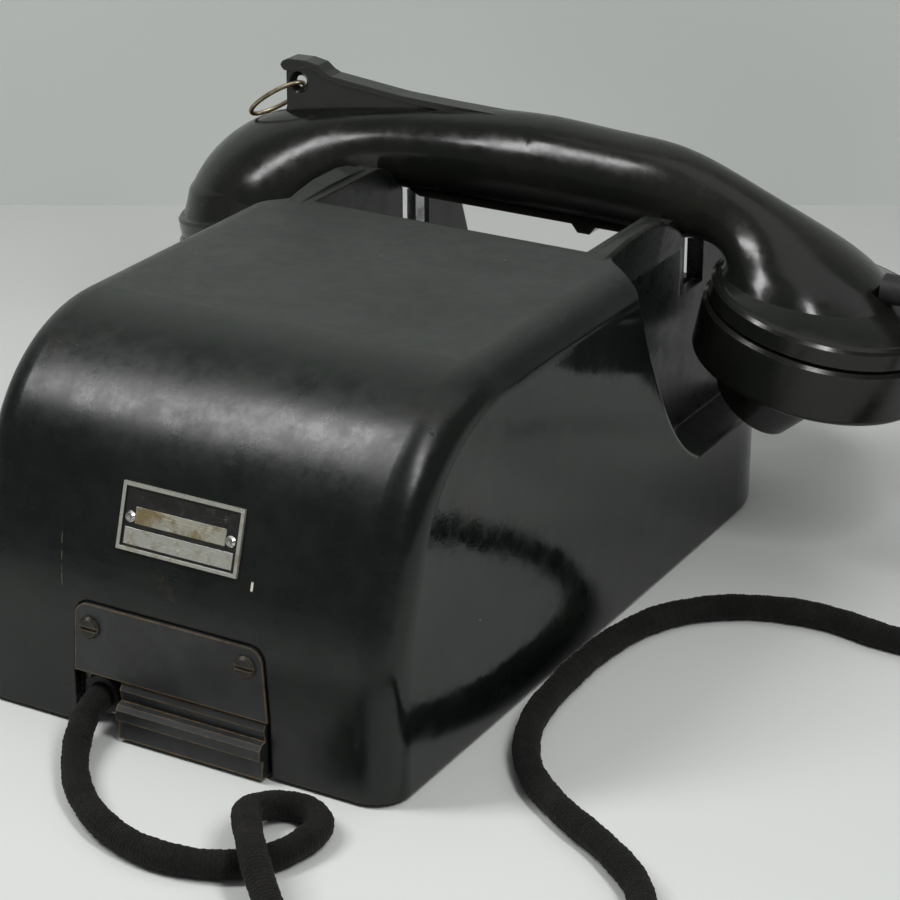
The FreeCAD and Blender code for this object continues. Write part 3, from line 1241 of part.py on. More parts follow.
def make_cord():
    path = rounded_path(CORD_ROUTE)
    start = V(*CORD_ROUTE[0])
    way = (V(*CORD_ROUTE[1]) - start).normalize()
    circle = Part.Wire([Part.Circle(start, way, mm("cord_r")).toShape()])
    shell = Part.BRepOffsetAPI.MakePipeShell(path)
    shell.add(circle)
    shell.build()
    shell.makeSolid()
    solid = shell.shape()
    expected = math.pi * mm("cord_r") ** 2 * path.Length
    print("cord length", round(path.Length, 1), "volume ratio", round(solid.Volume / expected, 4))
    obj = DOC.addObject("Part::Feature", "cord_solid")
    obj.Shape = solid
    return keep("handset_cord", obj)


make_housing()
make_base_plate()
make_feet()
make_base_screws()
make_cord_cover()
make_cover_screws()
make_clamp()
make_clamp_screw()
make_cord_bracket()
make_cord_gland()
make_type_plate()
make_rivets()
make_ringer_frame()
make_ringer_coils()
make_clapper()
make_clapper_pin()
make_gong(1)
make_gong(-1)
make_gong_posts()
make_gong_screws()
make_induction_coil()
make_condenser()
make_terminals()
make_fork()
make_fork_bracket()
make_contact_springs()
make_dial_static()
make_finger_wheel()
make_finger_stop()
make_governor()
make_handset_shell()
make_caps()
make_capsules()
make_talk_bar()
make_ring()
make_collar()
make_cord()

DOC.recompute()
broken = [f"{obj.Name}: {obj.State}" for obj in DOC.Objects if {"Invalid", "Error"} & set(obj.State)]
for node, obj in PARTS.items():
    if obj.Shape.isNull() or not obj.Shape.isValid():
        broken.append(f"{node}: bad shape")
if broken:
    raise SystemExit("not written: " + "; ".join(broken))
os.makedirs("parts", exist_ok=True)
for node, obj in PARTS.items():
    obj.Shape.exportStep(os.path.join("parts", node + ".step"))
print("wrote", len(PARTS), "sub-parts")
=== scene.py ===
# Looks of the desk telephone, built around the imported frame. Metres, the row frame.
import json
import math

import bmesh
import bpy
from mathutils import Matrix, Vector


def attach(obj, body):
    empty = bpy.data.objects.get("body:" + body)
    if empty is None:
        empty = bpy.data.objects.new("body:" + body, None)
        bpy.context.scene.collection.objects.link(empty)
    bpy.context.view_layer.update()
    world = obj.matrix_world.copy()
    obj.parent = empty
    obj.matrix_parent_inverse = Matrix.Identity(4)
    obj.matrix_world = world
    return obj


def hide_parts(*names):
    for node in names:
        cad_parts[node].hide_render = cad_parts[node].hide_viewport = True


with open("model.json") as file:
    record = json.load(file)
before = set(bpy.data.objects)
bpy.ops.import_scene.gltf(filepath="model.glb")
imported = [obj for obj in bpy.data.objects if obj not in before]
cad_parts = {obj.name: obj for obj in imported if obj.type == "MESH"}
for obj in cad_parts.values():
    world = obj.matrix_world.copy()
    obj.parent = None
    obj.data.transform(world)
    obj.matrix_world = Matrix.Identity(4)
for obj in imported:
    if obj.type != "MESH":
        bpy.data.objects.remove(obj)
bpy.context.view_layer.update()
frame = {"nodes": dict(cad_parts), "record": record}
nodes = frame["nodes"]
scene = bpy.context.scene

# Camera, fitted to the photograph's edges
EYE = Vector((-0.36634, 0.62112, 0.34895))
LOOK = Vector((0.4561, -0.7964, -0.3972)).normalized()
camera = bpy.data.objects.new("camera", bpy.data.cameras.new("camera"))
scene.collection.objects.link(camera)
camera.data.sensor_width = 36
camera.data.lens = 113.32
camera.data.clip_start = 0.02
camera.location = EYE
camera.rotation_euler = LOOK.to_track_quat("-Z", "Y").to_euler()
scene.camera = camera
scene.view_settings.view_transform = "Standard"

# The cord's route, from the back plate to the handset collar, in millimetres
CORD_ROUTE = [
    (23, 112.5, 9), (23, 121.5, 9), (20.3, 131.5, 5.6), (13, 143.5, 3.6), (2.5, 154.5, 3.6), (-11, 163, 3.6),
    (-26.5, 167, 3.6), (-42.5, 164, 3.6), (-51.8, 155, 3.6), (-54.6, 145, 3.6), (-54.4, 137, 3.6),
    (-49.8, 132.2, 3.6), (-43.2, 132, 3.8), (-38.4, 136.6, 4.6), (-38.4, 143.6, 7.2), (-42.8, 151.6, 11),
    (-49.6, 160.2, 11.6), (-57.6, 169, 9.4), (-68, 178, 4.6), (-86, 185, 3.6), (-110, 184.5, 3.6),
    (-130, 171.5, 3.6), (-140.5, 150, 3.6), (-135, 127, 3.6), (-118, 112.5, 3.6), (-99, 102.5, 3.6),
    (-82.5, 89, 3.6), (-72, 67.5, 3.6), (-69.6, 42, 3.6), (-69.8, 18, 3.6), (-75.5, -3.5, 3.6),
    (-91, -18.5, 3.6), (-113, -24.5, 3.6), (-136, -19, 3.6), (-157, -23.5, 3.6), (-172, -37, 3.6),
    (-177.5, -53.5, 5.5), (-177, -66, 15), (-173.5, -72.2, 31), (-168.5, -73.5, 49), (-160.5, -73.2, 66.5),
    (-145, -73, 80.2), (-126.3, -73, 80.8),
]


class Stuff:
    """A node material for one finish, with short calls for the nodes it uses."""

    def __init__(self, name):
        self.mat = bpy.data.materials.new(name)
        self.mat.use_nodes = True
        self.nt = self.mat.node_tree
        self.p = self.nt.nodes["Principled BSDF"]
        self.at = self.add("TexCoord").outputs["Object"]

    def add(self, kind, **settings):
        node = self.nt.nodes.new("ShaderNode" + kind)
        for key, value in settings.items():
            setattr(node, key, value)
        return node

    def wire(self, value, socket):
        if isinstance(value, bpy.types.NodeSocket):
            self.nt.links.new(value, socket)
        elif isinstance(value, tuple) and len(value) == 3 and len(socket.default_value) == 4:
            socket.default_value = (*value, 1)
        else:
            socket.default_value = value

    def math(self, op, a, b=0.0, c=0.0):
        node = self.add("Math", operation=op)
        for value, socket in zip((a, b, c), node.inputs):
            self.wire(value, socket)
        return node.outputs[0]

    def vec(self, op, a, b=(0, 0, 0)):
        node = self.add("VectorMath", operation=op)
        self.wire(a, node.inputs[0])
        self.wire(tuple(b) if not isinstance(b, bpy.types.NodeSocket) else b, node.inputs[1])
        return node.outputs["Value" if op in ("DOT_PRODUCT", "LENGTH", "DISTANCE") else "Vector"]

    def noise(self, scale, detail=3.0, rough=0.55, at=None, warp=0.0):
        node = self.add("TexNoise")
        self.wire(at or self.at, node.inputs["Vector"])
        self.wire(float(scale), node.inputs["Scale"])
        self.wire(float(detail), node.inputs["Detail"])
        self.wire(rough, node.inputs["Roughness"])
        self.wire(warp, node.inputs["Distortion"])
        return node.outputs["Fac"]

    def cells(self, scale, at=None, out="Distance"):
        node = self.add("TexVoronoi")
        self.wire(at or self.at, node.inputs["Vector"])
        self.wire(float(scale), node.inputs["Scale"])
        return node.outputs[out]

    def span(self, value, lo, hi, to_lo=0.0, to_hi=1.0):
        """value from lo..hi onto to_lo..to_hi, eased and clamped."""
        node = self.add("MapRange", interpolation_type="SMOOTHSTEP")
        self.wire(value, node.inputs["Value"])
        for key, number in (("From Min", lo), ("From Max", hi), ("To Min", to_lo), ("To Max", to_hi)):
            self.wire(float(number), node.inputs[key])
        return node.outputs["Result"]

    def mix(self, share, a, b):
        node = self.add("Mix", data_type="RGBA")
        self.wire(share, node.inputs[0])
        self.wire(a, node.inputs[6])
        self.wire(b, node.inputs[7])
        return node.outputs[2]

    def times(self, *values):
        out = values[0]
        for value in values[1:]:
            out = self.math("MULTIPLY", out, value)
        return out

    def plus(self, *values):
        out = values[0]
        for value in values[1:]:
            out = self.math("ADD", out, value)
        return out

    def stretched(self, factors):
        return self.vec("MULTIPLY", self.at, factors)

    def spot(self, where, radius, soft=0.4):
        """1 inside a ball round a point in mm, 0 outside."""
        far = self.vec("DISTANCE", self.at, [v / 1000 for v in where])
        return self.span(far, radius / 1000, radius * (1 - soft) / 1000)

    def edge(self, size, ragged=0.35, grain=420):
        """1 along edges and corners, broken up by noise."""
        bevel = self.add("Bevel", samples=6)
        bevel.inputs["Radius"].default_value = size
        flat = self.add("NewGeometry").outputs["Normal"]
        bend = self.math("SUBTRACT", 1.0, self.vec("DOT_PRODUCT", bevel.outputs[0], flat))
        return self.times(self.span(bend, 0.012, 0.1),
                          self.span(self.noise(grain, 4, 0.6), 0.5 - ragged / 2, 0.5 + ragged / 3))

    def bump(self, height, depth, after=None):
        node = self.add("Bump")
        self.wire(1.0, node.inputs["Strength"])
        self.wire(float(depth), node.inputs["Distance"])
        self.wire(height, node.inputs["Height"])
        if after is not None:
            self.wire(after, node.inputs["Normal"])
        return node.outputs["Normal"]

    def done(self, colour, rough, normal=None, metallic=0.0, level=0.5, ior=1.5, sheen=0.0):
        self.wire(colour, self.p.inputs["Base Color"])
        self.wire(rough, self.p.inputs["Roughness"])
        self.wire(float(metallic), self.p.inputs["Metallic"])
        self.p.inputs["IOR"].default_value = ior
        self.p.inputs["Specular IOR Level"].default_value = level
        if sheen:
            self.p.inputs["Sheen Weight"].default_value = sheen
            self.p.inputs["Sheen Roughness"].default_value = 0.5
        if normal is not None:
            self.wire(normal, self.p.inputs["Normal"])
        return self.mat


def band(s, value, middle, half, soft):
    """1 where value is within half of middle."""
    away = s.math("ABSOLUTE", s.math("SUBTRACT", value, middle))
    return s.span(away, half + soft, half)


def hairlines(s, scale, stretch, thin, share):
    """Fine scratches, in scattered patches."""
    lines = s.noise(scale, 2, 0.4, s.stretched(stretch), 0.3)
    near = s.span(s.math("ABSOLUTE", s.math("SUBTRACT", lines, 0.5)), thin, 0.0)
    patches = s.noise(31, 2, at=s.stretched((1.3, 0.9, 1.1)))
    return s.times(near, s.span(patches, 1 - share, 1 - share + 0.08))


def specks(s, scale, size, share):
    """Rare small dots."""
    dot = s.span(s.cells(scale), size, size * 0.6)
    node = s.add("SeparateColor")
    s.wire(s.cells(scale, out="Color"), node.inputs[0])
    return s.times(dot, s.span(node.outputs[0], 1 - share, 1 - share + 0.02))


DIRT_LINE_Y = 0.0925
SIDE_X = 0.0625


def housing_black():
    s = Stuff("housing_black")
    xyz = s.add("SeparateXYZ")
    s.wire(s.at, xyz.inputs[0])
    x, y, z = xyz.outputs
    up = s.vec("DOT_PRODUCT", s.add("TexCoord").outputs["Normal"], (0, 0, 1))
    cloud = s.noise(24, 4, 0.6)
    fine = s.noise(700, 4, 0.6)
    mottle = s.noise(170, 5, 0.7)
    colour = s.mix(s.span(cloud, 0.4, 0.66), (0.0044, 0.0066, 0.0055), (0.0072, 0.0092, 0.0076))
    # painted light: faces turned upwards are painted a lighter, mottled tone, as if lit from above
    colour = s.mix(s.times(s.span(up, 0.72, 0.97), s.span(mottle, 0.3, 0.7, 0.35, 0.75)), colour,
                   (0.0138, 0.0178, 0.0148))
    # rubbed, brown-tinged places along the rounded edges
    rub = s.edge(0.003, 0.5, 260)
    colour = s.mix(s.times(rub, 0.35), colour, (0.034, 0.024, 0.017))
    # a line of dirt and small pits where the top turns down to the back
    wander = s.times(s.math("SUBTRACT", s.noise(60, 3), 0.5), 0.008)
    line = s.times(band(s, s.plus(y, wander), DIRT_LINE_Y, 0.0006, 0.0016), s.span(up, 0.5, 0.7),
                   s.span(s.noise(420, 4, 0.65), 0.52, 0.6), s.span(s.noise(38, 2), 0.42, 0.6))
    colour = s.mix(line, colour, (0.0035, 0.0032, 0.003))
    stained = s.plus(s.spot((40, 90, 92), 17, 1), s.spot((-52, 84, 90), 19, 1), s.spot((-60, 80, 60), 22, 1))
    stain = s.times(s.span(s.noise(70, 5, 0.7), 0.56, 0.68), stained)
    colour = s.mix(s.times(stain, 0.6), colour, (0.028, 0.02, 0.014))
    # two rubbed marks under the type plate
    marks = s.times(s.plus(s.spot((3.6, 118, 45.4), 2.4, 0.5), s.spot((0.2, 118.2, 43), 2.6, 0.5)),
                    s.span(s.noise(600, 3), 0.4, 0.62))
    colour = s.mix(s.times(marks, 0.6), colour, (0.03, 0.02, 0.014))
    # light scratch, chip and scattered specks
    scratch = s.times(band(s, s.plus(x, s.times(z, -0.12)), 0.0277, 0.00006, 0.00012),
                      s.span(y, 0.112, 0.115), band(s, z, 0.0447, 0.0055, 0.0018),
                      s.span(s.noise(300, 2), 0.42, 0.52))
    chip = s.times(band(s, x, -0.0227, 0.00022, 0.0002), band(s, z, 0.0498, 0.0008, 0.0005),
                   s.span(y, 0.1, 0.11))
    colour = s.mix(s.times(scratch, 0.5), colour, (0.2, 0.16, 0.11))
    colour = s.mix(chip, colour, (0.75, 0.72, 0.62))
    dots = s.plus(specks(s, 210, 0.05, 0.035), s.spot((-27.1, -0.5, 97.3), 0.5),
                  s.spot((3, 13.1, 97.3), 0.45), s.spot((-63, 76.6, 33.6), 0.45))
    colour = s.mix(s.times(dots, 0.75), colour, (0.16, 0.15, 0.13))
    hair = s.plus(hairlines(s, 26, (1, 11, 11), 0.0022, 0.38), hairlines(s, 22, (12, 1.5, 1), 0.002, 0.34))
    side = s.span(s.math("ABSOLUTE", x), SIDE_X - 0.004, SIDE_X)
    rough = s.plus(s.span(mottle, 0.3, 0.72, 0.235, 0.345), s.times(side, -0.18), s.times(hair, 0.12),
                   s.times(line, 0.25), s.span(cloud, 0.35, 0.65, -0.02, 0.05),
                   s.times(s.span(up, 0.8, 1), 0.05))
    tall = s.plus(s.noise(46, 2), s.times(mottle, 0.16), s.times(fine, 0.05), s.times(hair, -0.05),
                  s.times(line, -0.16), s.times(dots, 0.25))
    soft = s.add("Bevel", samples=6)
    soft.inputs["Radius"].default_value = 0.0009
    return s.done(colour, rough, s.bump(tall, 0.00022, soft.outputs[0]), level=0.39)


def moulding(name, dark, brown, lo, hi, wave=0.00014, worn=0.4):
    """Polished moulding with a brown cast, fine scratches and rubbed edges."""
    s = Stuff(name)
    cloud = s.noise(33, 4, 0.6)
    mottle = s.noise(210, 5, 0.7)
    colour = s.mix(s.span(cloud, 0.38, 0.68), dark, brown)
    rubbed = tuple(min(1, 3.2 * v + 0.006) for v in brown)
    colour = s.mix(s.times(s.edge(0.0016, 0.6, 300), worn), colour, rubbed)
    dots = specks(s, 260, 0.05, 0.03)
    colour = s.mix(s.times(dots, 0.6), colour, (0.11, 0.09, 0.07))
    hair = hairlines(s, 30, (1, 11, 11), 0.002, 0.36)
    rough = s.plus(s.span(mottle, 0.3, 0.72, lo, hi), s.times(hair, 0.14),
                   s.span(cloud, 0.35, 0.65, -0.03, 0.05))
    tall = s.plus(s.noise(60, 2), s.times(mottle, 0.12), s.times(s.noise(900, 3), 0.03),
                  s.times(hair, -0.06))
    return s.done(colour, rough, s.bump(tall, wave), level=0.39)


def lacquer(name, paint, bare, rough, worn=0.8, edge=0.0007, metal=0.0):
    """Painted or blackened metal, rubbed through along its edges."""
    s = Stuff(name)
    mottle = s.noise(340, 5, 0.7)
    colour = s.mix(s.span(s.noise(90, 4), 0.4, 0.65), paint, tuple(1.6 * v + 0.004 for v in paint))
    rub = s.times(s.edge(edge, 0.7, 520), worn)
    colour = s.mix(rub, colour, bare)
    scratch = hairlines(s, 42, (1, 7, 7), 0.004, 0.4)
    colour = s.mix(s.times(scratch, 0.35), colour, bare)
    r = s.plus(s.span(mottle, 0.3, 0.7, rough - 0.07, rough + 0.08), s.times(rub, 0.1))
    tall = s.plus(mottle, s.times(s.noise(1300, 3), 0.5), s.times(rub, -0.8), s.times(scratch, -0.6))
    return s.done(colour, r, s.bump(tall, 0.00003), metallic=metal)


def bare_metal(name, tint, stain, rough, brushed=(1, 30, 30), dull=0.45):
    """Plain metal with grain and stains in random spots."""
    s = Stuff(name)
    grain = s.noise(160, 3, 0.5, s.stretched(brushed))
    spots = s.span(s.noise(240, 5, 0.7), 0.47, 0.66)
    colour = s.mix(s.times(spots, dull), tint, stain)
    colour = s.mix(s.span(grain, 0.3, 0.7, 0.0, 0.18), colour, stain)
    r = s.plus(s.span(grain, 0.3, 0.7, rough - 0.06, rough + 0.08), s.times(spots, 0.2))
    return s.done(colour, r, s.bump(s.plus(grain, s.times(spots, 0.6)), 0.00002), metallic=1.0)


def dull(name, dark, light, rough, grain=600, depth=0.00005, sheen=0.0):
    """Matt rubber, fibre or moulded insulation."""
    s = Stuff(name)
    fine = s.noise(grain, 5, 0.7)
    colour = s.mix(s.span(fine, 0.35, 0.7), dark, light)
    colour = s.mix(s.times(s.edge(0.0008, 0.5), 0.4), colour, tuple(min(1, 2 * v + 0.01) for v in light))
    uneven = s.span(fine, 0.3, 0.7, rough - 0.08, rough + 0.08)
    return s.done(colour, uneven, s.bump(fine, depth), sheen=sheen)


PLATE_MIDDLE = (-0.0007, 0.11403, 0.05907)
PLATE_UP = (0, -0.29237, 0.9563)


def plate_metal():
    """Light metal plate: plain border, black field, two pale bars, stained by age. Bare of any text."""
    s = Stuff("plate_metal")
    off = s.vec("SUBTRACT", s.at, PLATE_MIDDLE)
    u = s.vec("DOT_PRODUCT", off, (1, 0, 0))
    v = s.vec("DOT_PRODUCT", off, PLATE_UP)

    def panel(mid_u, mid_v, half_u, half_v):
        return s.times(band(s, u, mid_u, half_u, 0.00008), band(s, v, mid_v, half_v, 0.00008))

    field = panel(0, 0, 0.0167, 0.0075)
    upper = panel(0, 0.00068, 0.0132, 0.00204)
    lower = panel(0, -0.00476, 0.0158, 0.00204)
    grime = s.noise(260, 5, 0.7)
    light = s.mix(s.span(grime, 0.46, 0.7), (0.62, 0.62, 0.56), (0.4, 0.36, 0.26))
    aged = s.mix(s.span(s.noise(120, 4, 0.7), 0.42, 0.6), (0.58, 0.56, 0.47), (0.34, 0.27, 0.14))
    dark = s.mix(s.span(grime, 0.55, 0.7), (0.012, 0.012, 0.011), (0.05, 0.045, 0.035))
    colour = s.mix(field, light, dark)
    colour = s.mix(lower, colour, light)
    colour = s.mix(upper, colour, aged)
    scratch = hairlines(s, 90, (1, 5, 5), 0.004, 0.5)
    colour = s.mix(s.times(scratch, 0.3), colour, (0.2, 0.18, 0.14))
    paint = s.times(field, s.math("SUBTRACT", 1.0, s.math("MAXIMUM", upper, lower)))
    rough = s.plus(s.span(grime, 0.3, 0.7, 0.34, 0.5), s.times(paint, -0.04))
    tall = s.plus(s.times(grime, 0.6), s.times(scratch, -0.5), s.times(paint, -0.7))
    mat = s.done(colour, rough, s.bump(tall, 0.00005))
    s.wire(s.math("SUBTRACT", 0.75, s.times(paint, 0.75)), s.p.inputs["Metallic"])
    return mat


def braid():
    """Dull cotton thread: each carrier's own threads run along it."""
    s = Stuff("cord_braid")
    uv = s.add("UVMap", uv_map="thread").outputs[0]
    sep = s.add("SeparateXYZ")
    s.wire(uv, sep.inputs[0])
    threads = s.math("SINE", s.times(sep.outputs[0], 2 * math.pi * 5))
    fuzz = s.noise(1500, 4, 0.7)
    dust = s.noise(120, 5, 0.7)
    colour = s.mix(s.span(dust, 0.4, 0.7), (0.005, 0.0048, 0.0043), (0.0115, 0.0108, 0.0092))
    colour = s.mix(s.span(fuzz, 0.5, 0.75, 0.0, 0.5), colour, (0.024, 0.0222, 0.0195))
    return s.done(colour, s.span(fuzz, 0.3, 0.7, 0.8, 0.95),
                  s.bump(s.plus(s.times(threads, 0.35), fuzz), 0.00006), level=0.2, sheen=0.05)


FINISH = {
    "housing_black": housing_black(),
    "handset_black": moulding("handset_black", (0.0088, 0.0101, 0.0082), (0.0128, 0.0133, 0.0102),
                              0.16, 0.26, 0.00018),
    "talk_bar_black": moulding("talk_bar_black", (0.006, 0.006, 0.0053), (0.01, 0.0092, 0.0075), 0.15, 0.24),
    "cover_black": lacquer("cover_black", (0.0095, 0.0112, 0.0105), (0.21, 0.135, 0.06), 0.42, 1, 0.0008),
    "rubber_black": dull("rubber_black", (0.008, 0.008, 0.008), (0.018, 0.0175, 0.017), 0.6),
    "plain_steel": bare_metal("plain_steel", (0.42, 0.42, 0.41), (0.16, 0.13, 0.1), 0.35),
    "blackened_steel": lacquer("blackened_steel", (0.02, 0.019, 0.017), (0.2, 0.15, 0.09),
                               0.42, 1, 0.0006, 0.5),
    "zinc_steel": bare_metal("zinc_steel", (0.5, 0.51, 0.52), (0.26, 0.25, 0.23), 0.4, (1, 1, 1)),
    "plate_metal": plate_metal(),
    "rivet_metal": bare_metal("rivet_metal", (0.72, 0.71, 0.68), (0.3, 0.26, 0.2), 0.25, (1, 1, 1), 0.3),
    "coil_wrap": dull("coil_wrap", (0.16, 0.06, 0.03), (0.26, 0.11, 0.06), 0.4, 300),
    "gong_brass": bare_metal("gong_brass", (0.58, 0.48, 0.27), (0.26, 0.19, 0.1), 0.28, (1, 1, 14)),
    "condenser_can": lacquer("condenser_can", (0.21, 0.22, 0.23), (0.4, 0.39, 0.37), 0.45),
    "insulator_brown": dull("insulator_brown", (0.06, 0.028, 0.014), (0.1, 0.05, 0.028), 0.42, 380),
    "spring_brass": bare_metal("spring_brass", (0.6, 0.57, 0.46), (0.32, 0.28, 0.2), 0.3),
    "number_white": lacquer("number_white", (0.4, 0.39, 0.35), (0.1, 0.09, 0.08), 0.25, 0.5, 0.0004),
    "dial_black": lacquer("dial_black", (0.009, 0.009, 0.009), (0.2, 0.17, 0.13), 0.26, 0.55, 0.0004),
    "bright_steel": bare_metal("bright_steel", (0.62, 0.61, 0.59), (0.34, 0.31, 0.27), 0.2, (1, 1, 1), 0.3),
    "ring_wire": bare_metal("ring_wire", (0.42, 0.36, 0.24), (0.12, 0.085, 0.05), 0.34, (1, 1, 1), 0.6),
    "capsule_metal": bare_metal("capsule_metal", (0.55, 0.55, 0.54), (0.33, 0.32, 0.3), 0.34, (1, 1, 12)),
    "cord_braid": braid(),
}
for entry in frame["record"]["subparts"]:
    held = nodes[entry["node"]]
    for place in held.material_slots:
        place.material = FINISH[entry["material_slot"]]


# The cord: a core curve on the route, with a braid of twenty carriers round it
def route_curve(name, thick):
    curve = bpy.data.curves.new(name, "CURVE")
    curve.dimensions = "3D"
    spline = curve.splines.new("NURBS")
    spline.points.add(len(CORD_ROUTE) - 1)
    for point, (px, py, pz) in zip(spline.points, CORD_ROUTE):
        point.co = (px / 1000, py / 1000, pz / 1000, 1)
    spline.order_u = 3
    spline.use_endpoint_u = True
    spline.resolution_u = 14
    curve.bevel_depth = thick
    curve.bevel_resolution = 6
    curve.use_fill_caps = thick > 0
    obj = bpy.data.objects.new(name, curve)
    scene.collection.objects.link(obj)
    return obj


def centreline():
    """Even steps along the route's own spline."""
    guide = route_curve("guide", 0)
    bpy.context.view_layer.update()
    mesh = bpy.data.meshes.new_from_object(guide.evaluated_get(bpy.context.evaluated_depsgraph_get()))
    dense = [v.co.copy() for v in mesh.vertices]
    bpy.data.objects.remove(guide)
    bpy.data.meshes.remove(mesh)
    total = sum((b - a).length for a, b in zip(dense, dense[1:]))
    count = int(total / 0.00025)
    step, line, i, walked = total / count, [dense[0]], 0, 0.0
    for k in range(1, count):
        want = k * step
        while walked + (dense[i + 1] - dense[i]).length < want:
            walked += (dense[i + 1] - dense[i]).length
            i += 1
        line.append(dense[i].lerp(dense[i + 1], (want - walked) / (dense[i + 1] - dense[i]).length))
    return line + [dense[-1]], step


def make_braid():
    line, step = centreline()
    ways = [(b - a).normalized() for a, b in zip(line, line[1:])]
    ways.append(ways[-1])
    side = ways[0].cross(Vector((0, 0, 1))).normalized()
    frames = []
    for way in ways:
        side = (side - way * side.dot(way)).normalized()
        frames.append((side, way.cross(side)))
    made = bmesh.new()
    uv = made.loops.layers.uv.new("thread")
    carriers, pitch, core, lift, half = 10, 0.021, 0.00342, 0.00013, 0.092
    for turn in (1, -1):
        for carrier in range(carriers):
            rows = []
            for k, centre in enumerate(line):
                s = k * step
                swell = (1 + 0.022 * math.sin(s * 310 + 1) + 0.016 * math.sin(s * 780 + 2)
                         + 0.01 * math.sin(s * 1900))
                angle = 2 * math.pi * (carrier / carriers + turn * s / pitch)
                wave = turn * lift * math.cos(math.pi * 2 * carriers * s / pitch)
                row = []
                for across, drop in ((-1, 0.00011), (0, 0), (1, 0.00011)):
                    a = angle + across * half * math.pi
                    r = (core + wave) * swell - drop
                    out = frames[k][0] * math.cos(a) + frames[k][1] * math.sin(a)
                    row.append(made.verts.new(centre + out * r))
                rows.append(row)
            for k, (low, high) in enumerate(zip(rows, rows[1:])):
                for j in (0, 1):
                    face = made.faces.new((low[j], low[j + 1], high[j + 1], high[j]))
                    face.smooth = True
                    for loop, (tu, tv) in zip(face.loops, ((j, k), (j + 1, k), (j + 1, k + 1), (j, k + 1))):
                        loop[uv].uv = (tu / 2, tv * step * 400)
    bmesh.ops.recalc_face_normals(made, faces=made.faces)
    mesh = bpy.data.meshes.new("cord_braid_cover")
    made.to_mesh(mesh)
    made.free()
    obj = bpy.data.objects.new("cord_braid_cover", mesh)
    scene.collection.objects.link(obj)
    return obj


CORE_RADIUS = 0.0033
core = route_curve("cord_core", CORE_RADIUS)
core.data.materials.append(FINISH["cord_braid"])
cover = make_braid()
cover.data.materials.append(FINISH["cord_braid"])
for piece in (core, cover):
    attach(piece, "base")
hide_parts("handset_cord")


# Dial numerals, on the plate under the finger holes
DIAL_Y = -0.0885
DIAL_Z = 0.0405
DIAL_TILT = math.radians(50)
FINGER_CIRCLE = 0.0254
PLATE_OUT = 0.00343


def numeral(index):
    text = bpy.data.curves.new(f"numeral_{index}", "FONT")
    text.body = str((index + 1) % 10)
    text.size = 0.0078
    text.align_x = "CENTER"
    text.align_y = "CENTER"
    text.extrude = 0.00002
    obj = bpy.data.objects.new(f"numeral_{index}", text)
    scene.collection.objects.link(obj)
    around = math.radians(30 + 30 * index)
    across, up = FINGER_CIRCLE * math.cos(around), FINGER_CIRCLE * math.sin(around)
    obj.location = (across, DIAL_Y + up * math.cos(DIAL_TILT) - PLATE_OUT * math.sin(DIAL_TILT),
                    DIAL_Z + up * math.sin(DIAL_TILT) + PLATE_OUT * math.cos(DIAL_TILT))
    obj.rotation_euler = (DIAL_TILT, 0, 0)
    text.materials.append(FINISH["dial_black"])
    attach(obj, "base")


for digit in range(10):
    numeral(digit)


# Stage: a pale cloth on the table, and the same cloth hung behind
FLOOR_RADIUS = 2.2
FLOOR_SIDES = 96
WALL_FAR = 0.324
WALL_HALF = 1.1
WALL_HIGH = 1.5


def stage_floor():
    made = bmesh.new()
    turns = [2 * math.pi * i / FLOOR_SIDES for i in range(FLOOR_SIDES)]
    ring = [made.verts.new((FLOOR_RADIUS * math.cos(a), FLOOR_RADIUS * math.sin(a), 0)) for a in turns]
    made.faces.new(ring)
    mesh = bpy.data.meshes.new("floor_cloth")
    made.to_mesh(mesh)
    made.free()
    obj = bpy.data.objects.new("floor_cloth", mesh)
    scene.collection.objects.link(obj)
    s = Stuff("cloth")
    folds = s.noise(3.2, 2, 0.45, warp=0.4)
    # painted shade: the cloth's tone follows the fold noise that also drives its bump
    colour = s.mix(s.span(folds, 0.35, 0.7), (0.73, 0.745, 0.725), (0.69, 0.71, 0.69))
    mesh.materials.append(s.done(colour, 0.9, s.bump(folds, 0.006), level=0.1))


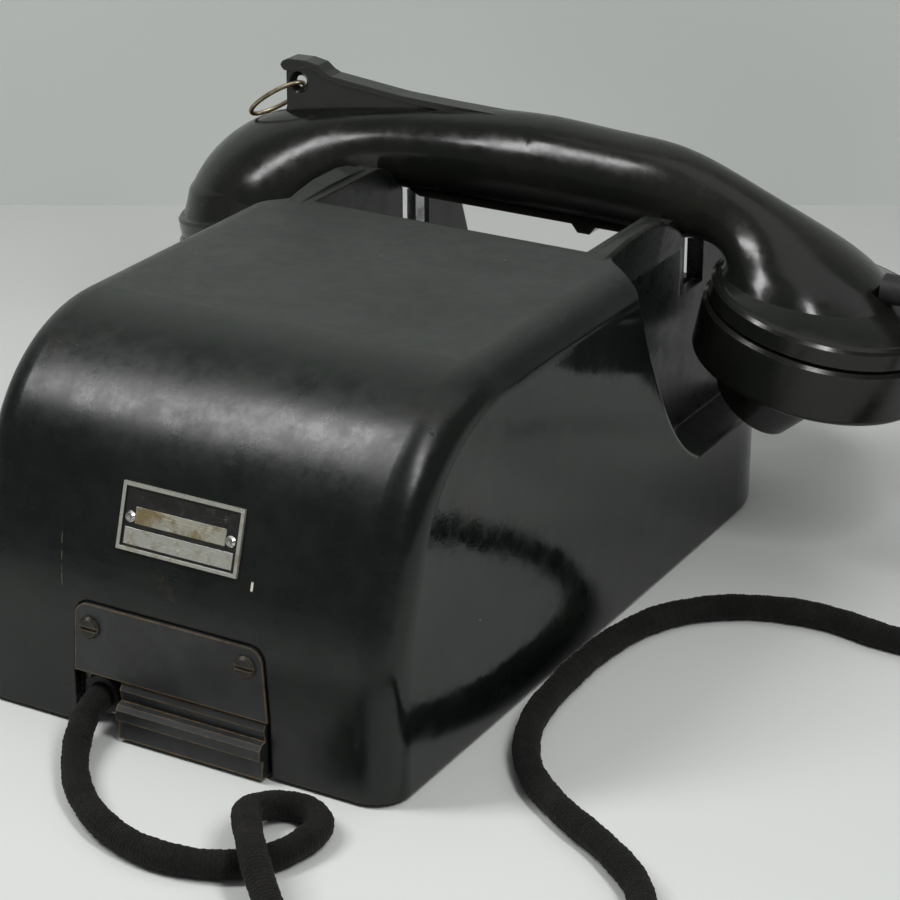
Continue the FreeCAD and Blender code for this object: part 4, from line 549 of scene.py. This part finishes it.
def stage_wall():
    """Upright cloth just behind the object. It is only there for a camera in front of it."""
    away = Vector((LOOK.x, LOOK.y, 0)).normalized()
    along = Vector((-away.y, away.x, 0))
    made = bmesh.new()
    corners = ((WALL_HALF, 0), (-WALL_HALF, 0), (-WALL_HALF, WALL_HIGH), (WALL_HALF, WALL_HIGH))
    made.faces.new([made.verts.new(away * WALL_FAR + along * u + Vector((0, 0, h))) for u, h in corners])
    mesh = bpy.data.meshes.new("wall_cloth")
    made.to_mesh(mesh)
    made.free()
    obj = bpy.data.objects.new("wall_cloth", mesh)
    scene.collection.objects.link(obj)
    obj.visible_shadow = False
    obj.visible_diffuse = False
    s = Stuff("wall_cloth")
    folds = s.noise(3, 2, 0.4)
    # painted shade: darker patches of fold shade on a flat wall
    colour = s.mix(s.span(folds, 0.35, 0.65), (0.74, 0.765, 0.74), (0.64, 0.665, 0.64))
    s.done(colour, 0.9, level=0.1)
    # seen from behind, the cloth is clear
    clear = s.add("BsdfTransparent")
    either = s.add("MixShader")
    s.wire(s.add("NewGeometry").outputs["Backfacing"], either.inputs[0])
    s.wire(s.p.outputs[0], either.inputs[1])
    s.wire(clear.outputs[0], either.inputs[2])
    s.wire(either.outputs[0], s.nt.nodes["Material Output"].inputs[0])
    mesh.materials.append(s.mat)


stage_floor()
stage_wall()


# Light: two narrow soft boxes over the back's corners, a wide overhead fill and a dim room
def soft_box(name, place, aim, width, height, power):
    lamp = bpy.data.lights.new(name, "AREA")
    lamp.shape = "RECTANGLE"
    lamp.size, lamp.size_y, lamp.energy = width, height, power
    obj = bpy.data.objects.new(name, lamp)
    obj.location = place
    obj.rotation_euler = (Vector(aim) - obj.location).to_track_quat("-Z", "Y").to_euler()
    scene.collection.objects.link(obj)


MIDDLE = (-0.02, 0.02, 0.05)
soft_box("strip_left", (0.24, 0.27, 0.5), MIDDLE, 0.11, 0.3, 1.7)
soft_box("strip_right", (-0.4, 0.27, 0.52), MIDDLE, 0.09, 0.3, 1.7)
soft_box("fill", (-0.3, -0.6, 1.9), MIDDLE, 2.4, 2.4, 12)
world = bpy.data.worlds.new("room")
world.use_nodes = True
world.node_tree.nodes["Background"].inputs[0].default_value = (0.96, 1, 0.98, 1)
world.node_tree.nodes["Background"].inputs[1].default_value = 0.13
scene.world = world
